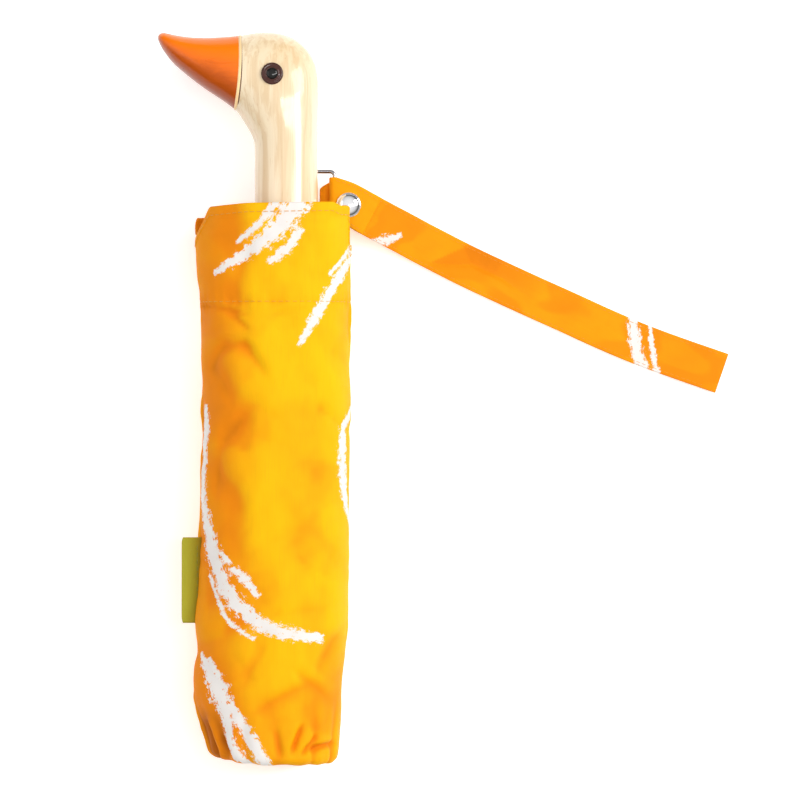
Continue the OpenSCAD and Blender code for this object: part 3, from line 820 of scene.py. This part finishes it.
# Side view of the head in millimetres (across from the axis, along): throat point, crown point,
# and half the thickness there. Each pair is one section, and sections fan round the throat.
HEAD_SECTIONS = [
    ((-12.5, 70.2), (12.5, 70.2), 12.5), ((-12.5, 80), (12.5, 80), 12.5), ((-12.5, 90), (12.5, 91), 12.5),
    ((-12.5, 98), (12.5, 101), 12.5), ((-12.9, 102), (12.6, 110), 12.6), ((-14.2, 105.2), (12.7, 118), 12.9),
    ((-15.7, 107.8), (12.6, 125.5), 13.3), ((-17.0, 109.9), (11.6, 132.2), 13.5),
    ((-18.1, 111.6), (8.9, 137.3), 13.5), ((-18.9, 112.8), (4.3, 141.8), 13.3),
    ((-19.5, 113.6), (-2.4, 144.5), 13.0), ((-19.9, 114.0), (-10.5, 145.0), 12.6),
    ((-20.1, 114.3), (-18.3, 143.8), 12.2)]
BILL_SECTIONS = [
    ((-20.1, 114.3), (-18.3, 143.8), 12.2), ((-24.9, 117.9), (-23.4, 143.3), 11.9),
    ((-32.6, 123.0), (-30.8, 142.9), 11.2), ((-39.4, 128.2), (-37.8, 143.1), 10.1),
    ((-44.8, 132.9), (-43.4, 143.8), 8.7), ((-48.4, 137.4), (-47.0, 144.6), 6.8),
    ((-49.9, 139.9), (-48.7, 144.9), 5.4), ((-50.6, 141.4), (-50.0, 144.6), 3.9),
    ((-50.95, 142.3), (-50.8, 143.9), 2.1)]
SEAM_BOW = 1.1
HEAD_POWER = 0.94   # below 1 it squares the sections a little


def fan_rings(sections, count, around, grow, bow_from):
    """Rings across the head. grow pushes them out; the seam bows as bow_from says."""
    flat = [(a[0], a[1], b[0], b[1], w) for a, b, w in sections]
    rings = []
    for step, (ax, ay, bx, by, w) in enumerate(through(flat, count)):
        share = step / (count - 1)
        centre = Vector(((ax + bx) / 2, (ay + by) / 2, 0))
        reach = Vector((bx - ax, by - ay, 0)) / 2
        long = reach.length + grow
        bow = SEAM_BOW * bow_from(share)
        ring = []
        for turn in circle(around):
            c, s = math.cos(turn), math.sin(turn)
            p = centre + reach.normalized() * (long * signed_power(c, HEAD_POWER))
            ring.append(at(p.x + bow * s * s, p.y, (w + grow) * signed_power(s, HEAD_POWER)))
        rings.append(ring)
    return rings


def make_head():
    rings = fan_rings(HEAD_SECTIONS, 130, 120, 0.0, lambda share: smoothstep(0.72, 1.0, share))
    rings_piece("duck_head_wood", rings, "handle", "birch", ("duck_head",))


def make_seam():
    """A pale line beside the bill, then a dark groove beside the head."""
    throat, crown, half = HEAD_SECTIONS[-1]
    bands = (("bill_cream_line", "cream", (-0.75, -0.6, 0.0, 0.45, 0.55), (-0.2, 0.10, 0.14, 0.10, -0.2)),
             ("bill_dark_groove", "groove", (0.5, 0.6, 1.0, 1.1), (-0.2, 0.11, 0.11, -0.2)))
    for name, finish, shifts, grows in bands:
        rings = []
        for shift, grow in zip(shifts, grows):
            moved = ((throat[0] + shift * 0.9, throat[1] - shift * 0.35), (crown[0] + shift, crown[1]), half)
            rings.append(fan_rings([moved, moved], 2, 96, grow, lambda share: 1.0)[0])
        rings_piece(name, rings, "handle", finish)


def make_bill():
    around = 120
    rings = fan_rings(BILL_SECTIONS, 80, around, 0.05, lambda share: (1 - share) ** 3)
    tip = sum(rings[-1], Vector()) / around + Vector((-0.15 * MM, 0, 0))
    rings += [[tip.lerp(p, share) for p in rings[-1]] for share in (0.75, 0.4)]
    bill = rings_piece("bill_lacquered", rings, "handle", "lacquer", ("bill",))
    turns = np.tile(circle(around), len(rings))
    to_tip = np.repeat(np.arange(len(rings)) / (len(rings) - 1), around)
    # Red runs from the lower edge, which the lacquer paints in shade, to the upper edge; blue runs to the
    # tip
    store_print(bill, 0.5 + 0.5 * np.cos(turns), np.sin(turns), to_tip)


def make_eyes():
    """Glass eyes: a dark brown ring with a rolled edge and a raised black pupil."""
    centre = middle("eye_irises")
    socket_foot = 10.9 * MM
    for sign, name in ((1, "left"), (-1, "right")):
        origin = Vector((centre.x, centre.y, AXIS_Z + sign * socket_foot))
        lathe(f"iris_{name}", [
            (2.2, 0), (4.35, 0), (4.38, 2.5), (4.3, 3.0), (4.1, 3.25), (3.8, 3.36), (3.5, 3.36),
            (3.25, 3.3), (3.0, 3.34), (2.6, 3.5), (2.35, 3.56), (2.2, 3.4)],
            origin, (0, 0, sign), "handle", "iris", ("eye_irises",))
        lathe(f"pupil_{name}", [
            (0, 0), (2.3, 0), (2.3, 3.3), (2.22, 3.6), (1.95, 3.86), (1.45, 4.06), (0.8, 4.16), (0, 4.2)],
            origin, (0, 0, sign), "handle", "pupil", ("eye_pupils",))


# ---- Sleeve ----

AROUND = 220
ROWS = 190
# Where the cloth's side edges run: (along, left reach, right reach) from the axis, in mm
SLEEVE_EDGES = [
    (-144.5, -30.0, 20.0), (-137, -32.0, 20.9), (-130.5, -34.2, 21.3), (-120, -36.2, 22.2),
    (-112, -35.6, 22.5), (-92, -34.8, 24.2), (-43, -34.2, 24.8), (0, -33.5, 25), (29, -33.7, 25),
    (40, -34.4, 25.1), (56, -35.1, 25.2), (65, -34.7, 25.6), (71, -33.2, 26), (77, -32.0, 26.2)]
EDGE_TABLE = np.array(through(SLEEVE_EDGES, 400))
FRONT_RIM = 77.0
HEM = 4.2
HEM_STITCH = HEM - 0.7
TUCK = 38.0
HIGHEST, LOWEST = 22.9, -22.8   # the cloth's limits above and below the axis


def edges_at(y):
    return [np.interp(y, EDGE_TABLE[:, 0], EDGE_TABLE[:, side]) for side in (1, 2)]


def section_point(turn, y, shrink):
    """A smooth section round the roll: full on the right, sloping down to the loose left side."""
    left, right = edges_at(y)
    c, s = math.cos(turn), math.sin(turn)
    if c >= 0:
        x = right * signed_power(c, 0.86) * shrink
        power = 0.86
    else:
        x = -left * signed_power(c, 0.98) * shrink
        power = 0.98 if s > 0 else 0.9
    high = 22.7 if s > 0 else 23.0
    z = high * signed_power(s, power) * shrink
    return x, max(z, LOWEST)


def bump_between(value, low, high, soft):
    return smoothstep(low - soft, low, value) * (1 - smoothstep(high, high + soft, value))


def rim_at(turn):
    """The rim dips at both side seams: a short vent on the left, whose back panel stands proud,
    and a longer one on the right for the strap."""
    degrees = (math.degrees(turn) + 90) % 360 - 90
    right_vent = 16.5 * bump_between(degrees, -36, 12, 9)
    left_vent = 13.5 * smoothstep(153, 176, degrees) * (1 - smoothstep(181, 190, degrees))
    front_corners = 1.4 * smoothstep(110, 160, degrees) * (1 - smoothstep(160, 170, degrees))
    front_corners += 1.5 * bump_between(degrees, 14, 36, 14)
    back = 5.5 * smoothstep(184, 190, degrees) * (1 - smoothstep(196, 226, degrees))
    back += 1.2 * bump_between(degrees, 215, 275, 18)
    return FRONT_RIM - right_vent - left_vent - front_corners - back + 0.3 * math.sin(2 * turn + 0.6)


def ridged(x, y, scale, seed):
    return 1 - abs(drift(x * scale, y * scale, seed)) * 2


# Creases in the cloth: place (across the front, along), heading in degrees, length, width, depth
CREASES = [
    (-27, 17, 62, 15, 4.6, -1.1), (-19, 20.5, 5, 15, 4.4, -1.2), (-12, 15, -52, 16, 4.4, -1.0),
    (-25, 5, -60, 20, 9.0, -1.3), (-20, -11, 50, 18, 7.0, -1.1), (-27, -28, 82, 26, 5.0, -0.9),
    (-8, -5, -35, 22, 7.0, -0.6), (-5, -36, 62, 24, 6.5, -0.6), (12, 5, -70, 26, 6.0, -0.4),
    (19, -8, -40, 16, 3.4, -0.8), (-25, 35, -12, 20, 2.0, -1.1), (-18, 30, -40, 12, 2.2, -0.9),
    (-24, -92, 38, 26, 7.0, -1.0), (-12, -104, 60, 24, 6.5, -0.8), (-2, -118, 28, 24, 6.0, -1.1),
    (10, -112, -38, 20, 4.5, -0.8), (16, -70, 78, 30, 5.5, -0.5), (18, -98, 60, 22, 4.5, -0.8),
    (5, -84, 10, 22, 5.0, -0.4), (-30, -72, 85, 30, 3.5, -0.7), (4, 34, 8, 30, 2.0, -0.4),
    (13, 58, -78, 26, 6.0, -0.5), (-18, 50, 70, 26, 6.0, -0.6), (3, 52, 80, 24, 5.5, -0.4),
    (4.5, -134, 68, 11, 2.2, -2.3), (9.5, -136.5, 50, 9, 2.0, -2.1), (14.5, -137, 12, 9, 2.2, -2.5),
    (-3, -136, 100, 10, 2.4, -1.3), (-30.3, -135, -66, 15, 2.8, -3.6), (-24, -137, -60, 9, 2.2, -1.3)]
# Gathers at the closed end: (direction round the sleeve in degrees, width in degrees, depth)
GATHERS = [
    (28, 5, 1.2), (60, 4.5, 0.9), (97, 5, 0.7), (118, 4, 0.8), (141, 5, 0.9), (158, 5, 1.0),
    (200, 6, 1.6), (232, 7, 1.4), (262, 6, 1.1), (296, 7, 1.5), (334, 6, 1.6)]


def crease_depth(x, y):
    """The creases' own lift at a place on the front: a valley with a low ridge beside it."""
    lift = 0.0
    for cx, cy, heading, long, wide, depth in CREASES:
        dx, dy = x - cx, y - cy
        if abs(dx) + abs(dy) > 2 * long:
            continue
        h = math.radians(heading)
        run = dx * math.cos(h) + dy * math.sin(h)
        off = -dx * math.sin(h) + dy * math.cos(h) + 0.006 * run * run
        fade = math.exp(-(run / (long / 2)) ** 4) * depth
        lift += fade * math.exp(-abs(off / (wide / 2)) ** 1.3)
        lift -= 0.4 * fade * bell(off - wide * 0.9, wide * 0.6)
    return lift


def sleeve_lift(x, y, turn, front):
    """How far the cloth stands off its smooth section, in millimetres."""
    loose = smoothstep(4, -30, x) if x < 4 else 0.0
    lift = 0.9 * drift(x * 0.045, y * 0.022, 3.1 + front)
    lift += (0.6 + 0.9 * loose) * drift(x * 0.08 + y * 0.02, y * 0.05, 7.7 + front)
    lift -= 0.36 * (ridged(x + y * 0.55, y * 0.5, 0.06, 12.3 + front) - 0.5)
    lift -= 0.24 * (ridged(x * 0.9 - y * 0.4, y * 0.8, 0.12, 31.3 + front) - 0.5)
    lift += 0.12 * drift(x * 0.3, y * 0.24, 21.0 + front)
    if front:
        lift += crease_depth(x, y)
    else:
        # The back panel's top corner stands out at the left vent
        degrees = math.degrees(turn) % 360
        lift += 3.4 * bump_between(degrees, 186, 197, 7) * smoothstep(60, 71, y)
    # Puckers hang from the tuck
    near = y - TUCK
    lift -= 0.35 * bell(near, 0.7)
    lift += 0.16 * math.sin(turn * 46) * math.exp(-abs(near) / 3.0)
    return lift


def end_lift(turn, y):
    """Gathers that deepen towards the closed end."""
    depth = smoothstep(-112, -143, y)
    degrees = math.degrees(turn) % 360
    lift = 0.0
    for where, wide, deep in GATHERS:
        gap = (degrees - where + 180) % 360 - 180
        gap += 3.0 * drift(where, y * 0.07, 0)
        lift -= deep * bell(gap, wide)
        lift += 0.3 * deep * bell(abs(gap) - 2 * wide, wide)
    return lift * depth


def closed_end_rows(count=18, fillet=3.2):
    """Rows of (height above the end, shrink) from the end's middle round its edge."""
    rows = []
    for k in range(count):
        share = (k + 1) / count
        if share < 0.6:
            rows.append((1.2 * (1 - share / 0.6), 0.03 + 0.85 * share / 0.6))
        else:
            turn = (share - 0.6) / 0.4 * math.pi / 2
            rows.append((fillet * (1 - math.cos(turn)), 0.88 + 0.12 * math.sin(turn)))
    return rows


def painted_shade_depth(x, y, z, lift):
    """The cloth's painted shade: strong on the slack left side, which is turned from the light, and in the
    valleys.
    """
    # Underneath: painted shade all over, more on the back panel at the left vent and in the valleys
    if z < 0:
        return 0.3 + 0.6 * smoothstep(50, 62, y) * smoothstep(-20, -30, x) + 0.3 * max(-lift, 0.0)
    # On top: painted shade on the left side turned from the light, towards the closed end and in the
    # valleys, a little less on ridges, with deeper patches at random
    slack = 0.62 * smoothstep(-8, -28, x + 3.5 * drift(x * 0.03, y * 0.035, 5.0))
    slack += 0.14 * smoothstep(0.02, 0.2, drift(x * 0.05 + y * 0.02, y * 0.045, 15.0))
    end_shade = 0.36 * smoothstep(-96, -128, y)
    return slack + end_shade + 0.34 * max(-lift, 0.0) - 0.05 * max(lift, 0.0)


def sleeve_grid():
    """Rows of points from the middle of the closed end to the rim, and each point's painted shade."""
    grid, painted_shade = [], []
    cap_rows = closed_end_rows()
    end_y = SLEEVE_END / MM + 0.7
    start = end_y + cap_rows[-1][0]
    for row in range(ROWS):
        ring = []
        for turn in circle(AROUND):
            rim = rim_at(turn)
            skew = 1.6 * smoothstep(0.3, 1.0, -math.cos(turn))
            if row < len(cap_rows):
                above, shrink = cap_rows[row]
                y = end_y + above + 0.5 * math.sin(turn * 13) * (1 - shrink) * shrink * 4 + skew * shrink
            else:
                # Closer rows at both ends, where hems and gathers need them
                share = (row - len(cap_rows) + 1) / (ROWS - len(cap_rows))
                eased = share - 0.06 * math.sin(2 * math.pi * share)
                y = start + skew + (rim - start - skew) * eased
                shrink = 1.0
            x, z = section_point(turn, y, shrink)
            below_rim = rim - y
            out = outward(turn)
            lift = sleeve_lift(x, y, turn, 1.0 if z > 0 else 0.0) * smoothstep(0.25, 0.9, shrink)
            lift += end_lift(turn, y) * smoothstep(0.3, 1.0, shrink)
            painted_shade.append(painted_shade_depth(x, y, z, lift))
            if row >= len(cap_rows):
                lift += 0.42 * (1 - smoothstep(HEM - 0.5, HEM + 0.3, below_rim))
                lift -= 0.22 * bell(below_rim - HEM_STITCH, 0.5)
            ring.append((x + out.x * lift, y, max(min(z + out.z * lift, HIGHEST), LOWEST)))
        grid.append(ring)
    return np.array(grid), painted_shade


def make_sleeve():
    grid, painted_shade = sleeve_grid()
    # Cloth coordinates: distance round from the line above the axis, positive to the right
    mid = grid[ROWS // 2]
    steps = np.linalg.norm(np.diff(np.vstack([mid, mid[:1]])[:, [0, 2]], axis=0), axis=1)
    run = np.concatenate([[0], np.cumsum(steps)])
    period = run[-1]
    round_from_top = run[AROUND // 4] - run[:AROUND]
    round_from_top = (round_from_top + period / 2) % period - period / 2
    places = np.array([(round_from_top[k], grid[row, k, 1]) for row in range(ROWS) for k in range(AROUND)])
    across_front = grid[ROWS // 2, :AROUND // 2, 0]
    order = np.argsort(across_front)

    def to_cloth(x):
        edge_left, edge_right = across_front[order][0], across_front[order][-1]
        inside = np.interp(x, across_front[order], round_from_top[:AROUND // 2][order])
        return inside + min(x - edge_left, 0) + max(x - edge_right, 0)

    strokes = [[(to_cloth(x), y, w) for x, y, w in stroke] for stroke in SLEEVE_STROKES]
    rings = [[at(*p) for p in ring] for ring in grid]
    sleeve = cloth_tube("sleeve_cloth_shell", rings, True, "sleeve", "sleeve_cloth", "sleeve",
                        places, period, strokes, painted_shade, 0.55)
    make_sleeve_stitches(grid)


# Brush strokes on the sleeve: (across the front, along, half-width) in mm; across runs on past
# the side edges onto the back
SLEEVE_STROKES = [
    [(-27.0, 49.2, 1.5), (-17.4, 55.4, 3.2), (-8.4, 62.0, 4.6), (0.6, 71.0, 6.4), (6.5, 80, 6.5)],
    [(-18.2, 61.6, 1.4), (-11, 68, 2.2), (-3.6, 77, 2.6)],
    [(-5.8, 53.6, 2.0), (1.0, 59.0, 3.0), (5.6, 65.8, 2.2)],
    [(6.0, 21.6, 1.8), (11.7, 32.4, 3.0), (18.2, 43.3, 3.5), (23.6, 52.8, 4.0), (30, 60, 3.6),
     (39, 67, 1.2)],
    [(17.2, 49.0, 1.2), (23.4, 57.4, 1.6), (28, 64, 1.0)],
    [(-33.0, -4.5, 3.4), (-32.6, -14, 4.6), (-33.0, -28, 3.8), (-32.4, -42, 4.3), (-30.6, -53, 5.4),
     (-29.2, -60, 5.8), (-26.6, -68, 5.2), (-21.8, -77, 4.8), (-14.2, -85.6, 4.4), (-3, -91.4, 3.8),
     (13.8, -94.2, 3.0)],
    [(-25.7, -60.5, 1.5), (-21.5, -65, 1.7)],
    [(-19.8, -67.5, 2.2), (-15.5, -71.5, 2.6), (-10.8, -77.6, 1.8)],
    [(-30.4, -70, 1.3), (-26.4, -80, 1.6), (-20.8, -89, 1.5), (-12, -94.6, 1.2)],
    [(26, -1, 1.4), (22.8, -12, 3.7), (22.4, -26, 4.4), (24.0, -42, 3.8), (28, -56, 2.6), (35, -72, 1.0)],
    [(-32.0, -101, 1.4), (-27.4, -110, 5.4), (-24.0, -118, 5.8), (-21.6, -125.4, 5.0),
     (-22.4, -132.5, 3.6), (-20.6, -139.5, 3.8), (-15, -146, 3.2)],
    [(-28.6, -102.5, 1.1), (-24.6, -110.5, 1.9)],
    [(-19.6, -121, 2.4), (-16.0, -129, 3.6), (-12.6, -136.5, 4.2), (-8.5, -145, 3.8)],
    [(44, 64, 1.4), (55, 52, 3.6), (62, 34, 4.4), (64, 12, 3.2), (62, -4, 1.2)],
    [(52, -22, 1.2), (64, -34, 3.4), (80, -40, 4.2), (96, -36, 1.6)],
    [(46, -84, 1.2), (52, -100, 3.6), (64, -116, 4.6), (80, -124, 3.2), (92, -126, 1.2)],
    [(78, 62, 1.2), (90, 48, 3.6), (96, 26, 4.2), (94, 6, 1.4)],
    [(88, -62, 1.4), (98, -78, 3.4), (104, -96, 1.2)]]


def make_sleeve_stitches(grid):
    """The hem's stitch line follows the rim, and the tuck's runs straight round the front."""
    rows = (("hem", lambda turn: rim_at(turn) - HEM_STITCH, 0.12, 0.8, 0.15),
            ("tuck", lambda turn: TUCK, 0.10, 0.9, 0.13))
    for name, height_at, stand_off, gap, radius in rows:
        line, up = [], []
        for k in range(AROUND + 1):
            turn = 2 * math.pi * (k % AROUND) / AROUND
            column = grid[:, k % AROUND, :]
            y = height_at(turn)
            x = np.interp(y, column[:, 1], column[:, 0])
            z = np.interp(y, column[:, 1], column[:, 2])
            out = outward(turn)
            line.append(at(x, y, z) + out * stand_off * MM)
            up.append(out)
        stitches(f"sleeve_{name}_stitches", line, "sleeve", "yellow_thread",
                 1.9, gap, radius, up)


def make_label():
    """A folded woven tab: two thin layers joined by a round fold at their outer edge."""
    low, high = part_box("side_label")
    out_x = low.x
    in_x = AXIS_X + edges_at(-72)[0] * MM + 0.8 * MM
    z = (low.z + high.z) / 2
    half = 0.36 * MM
    profile = [(in_x, half), (out_x + 0.9 * MM, half)]
    for degrees in range(90, 271, 20):
        turn = math.radians(degrees)
        profile.append((out_x + 0.5 * MM + 0.5 * MM * math.cos(turn), half * math.sin(turn)))
    profile += [(out_x + 0.9 * MM, -half), (in_x, -half)]
    rows = 34
    rings, places = [], []
    for i in range(rows + 1):
        share = i / rows
        y = low.y + (high.y - low.y) * share
        corner = 0.5 * MM * max(1 - min(share, 1 - share) * rows / 1.5, 0.0)
        bend = 0.35 * MM * math.sin(share * 5.0 + 0.6)
        ring = []
        for x, dz in profile:
            reach = (in_x - x) / (in_x - out_x)
            ring.append(Vector((x + corner * reach, y, z + dz + bend * reach)))
            places.append(((in_x - x) / MM * (1 if dz >= 0 else -1), y / MM))
        rings.append(ring)
    label = rings_piece("side_label_tab", rings, "sleeve", "label", ("side_label",))
    set_uv(label, np.array(places))
    ends = [Vector((in_x - 1.6 * MM, y, z + 0.45 * MM)) for y in (low.y + 1 * MM, high.y - 1 * MM)]
    stitches("label_stitches", ends, "sleeve", "green_thread", 1.8, 0.9, 0.12)


# ---- Canopy under the sleeve ----

def roll_radius(turn, y, top, foot):
    """Eight flaps of cloth wound the same way, each lapping over the next."""
    spin = turn + 0.0022 * (y - foot)
    flap = (spin * 8 / (2 * math.pi)) % 1.0
    radius = 18.9 + 1.15 * flap ** 0.7 * (1 - smoothstep(0.93, 1.0, flap))
    radius += 0.28 * drift(math.cos(turn) * 2.2, math.sin(turn) * 2.2, y * 0.045)
    radius += 0.16 * math.sin(spin * 24 + y * 0.03)
    shoulder = smoothstep(foot, foot + 9, y)
    radius *= 0.76 + 0.24 * shoulder
    pucker = 1 - smoothstep(foot + 2, foot + 26, y)
    radius += 0.5 * pucker * math.sin(turn * 24)
    flare = smoothstep(top - 12, top, y)
    radius += 0.35 * flare * math.sin(turn * 16 + 1.0)
    return min(radius - 0.5 * bell(y - 3, 13.0), 20.3)


def make_canopy():
    low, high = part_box("canopy_roll")
    foot, top = low.y / MM, high.y / MM
    around, rows = 256, 120
    rings, places = [], []
    for i in range(rows):
        y = foot + 0.6 + (top - foot - 0.6) * i / (rows - 1)
        near_top = smoothstep(top - 20, top, y)
        ring = []
        for turn in circle(around):
            edge = 1.4 * math.sin(turn * 4 + 0.5) * near_top
            radius = roll_radius(turn, y, top, foot)
            place = min(y + edge - 1.4 * near_top, top)
            ring.append(at(radius * math.cos(turn), place, radius * math.sin(turn)))
            places.append((turn * ROLL_R, y))
        rings.append(ring)
    # The mouth of the roll turns in, showing the inner folds of the cloth
    outer = rings[-1]
    for inset, drop in ((0.95, 0.2), (0.88, 1.5), (0.86, 6.0)):
        rings.append([Vector((AXIS_X + (p.x - AXIS_X) * inset, p.y - drop * MM,
                              AXIS_Z + (p.z - AXIS_Z) * inset)) for p in outer])
        places += [(turn * ROLL_R, top - drop) for turn in circle(around)]
    # Painted shade: the cloth's colour deepens where it lies further in, under each lapping flap and in the
    # turned-in mouth
    painted_shade = [0.1 + 0.5 * smoothstep(19.4, 18.6, math.hypot(p.x - AXIS_X, p.z - AXIS_Z) / MM)
             for ring in rings for p in ring]
    cloth_tube("canopy_folded", rings, True, "frame", "canopy_cloth", "canopy_roll",
               np.array(places), 2 * math.pi * ROLL_R, ROLL_STROKES, painted_shade, 0.5)


ROLL_R = 20.0
ROLL_STROKES = [
    [(10, 50, 1.2), (18, 36, 3.4), (30, 18, 4.2), (36, -4, 2.0)],
    [(52, 56, 1.0), (58, 38, 3.2), (56, 18, 4.0), (48, 0, 1.4)],
    [(20, -30, 1.2), (30, -46, 3.8), (46, -60, 4.4), (60, -64, 1.6)],
    [(84, 46, 1.4), (92, 24, 3.8), (106, 8, 3.0), (116, 2, 1.0)],
    [(76, -30, 1.2), (88, -48, 4.0), (92, -70, 3.6), (88, -90, 1.2)],
    [(10, -84, 1.2), (22, -98, 3.6), (38, -108, 2.6)]]


BAND_R = 20.55
BAND_CLOTH_R = 21.0   # the print is laid out round this radius


def band_point(turn, y, radius, bow):
    """A place on the band, which is a little wavy all round."""
    radius += 0.12 * math.sin(turn * 9) * bow
    return at(radius * math.cos(turn), y + 0.4 * math.sin(turn * 2), radius * math.sin(turn))


def make_tie_band():
    low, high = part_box("tie_band")
    around, rows = 128, 14
    rings, places = [], []
    for i in range(rows + 1):
        share = i / rows
        y = (low.y + (high.y - low.y) * share) / MM
        edge = 0.22 if 0 < i < rows else 0.0
        bow = math.sin(share * math.pi)
        rings.append([band_point(turn, y, BAND_R + edge, bow) for turn in circle(around)])
        places += [(turn * BAND_CLOTH_R, y) for turn in circle(around)]
    cloth_tube("tie_band_cloth", rings, False, "frame", "canopy_cloth", "tie_band",
               np.array(places), 2 * math.pi * BAND_CLOTH_R, [[(16, 16, 1.5), (26, -8, 3.0)]],
               [0.1] * len(places), 0.5)
    turns = circle(96) + [2 * math.pi]
    up = [outward(turn) for turn in turns]
    for side, y in (("lower", low.y / MM + 1.4), ("upper", high.y / MM - 1.4)):
        line = [band_point(turn, y, BAND_R + 0.3, 0.3) for turn in turns]
        stitches(f"band_{side}_stitches", line, "frame", "yellow_thread", 1.8, 0.8, 0.12, up)
    stud = middle("tie_stud")
    out = Vector((stud.x - AXIS_X, 0, stud.z - AXIS_Z)).normalized()
    foot = Vector((AXIS_X, stud.y, AXIS_Z)) + out * (BAND_R + 0.35) * MM
    lathe("tie_stud_cap", [(0, 0), (4.5, 0), (4.6, 0.2), (4.5, 0.5), (4.1, 0.6), (3.9, 0.8), (3.2, 1.15),
                           (2.0, 1.42), (0, 1.55)], foot, out, "frame", "chrome", ("tie_stud",))


def make_ferrule():
    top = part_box("canopy_washer")[0].y
    lathe("ferrule_cap", [
        (0, 0), (9.6, 0), (10.0, 0.3), (10.0, 2.4), (9.7, 3.1), (9.2, 3.4), (9.1, 4.2), (8.7, 5.6),
        (7.6, 7.1), (6.0, 8.4), (4.6, 9.0), (4.2, 9.3), (3.6, 9.8), (2.0, 10.1), (0, 10.2)],
        Vector((AXIS_X, top - 0.1 * MM, AXIS_Z)), (0, -1, 0), "frame", "black",
        ("ferrule",))


# ---- Everything ----

make_camera()
make_materials()
make_strap()
make_flap()
make_lights()
make_floor()
finish_cad_nodes()
make_head()
make_seam()
make_bill()
make_eyes()
make_sleeve()
make_label()
make_canopy()
make_tie_band()
make_ferrule()
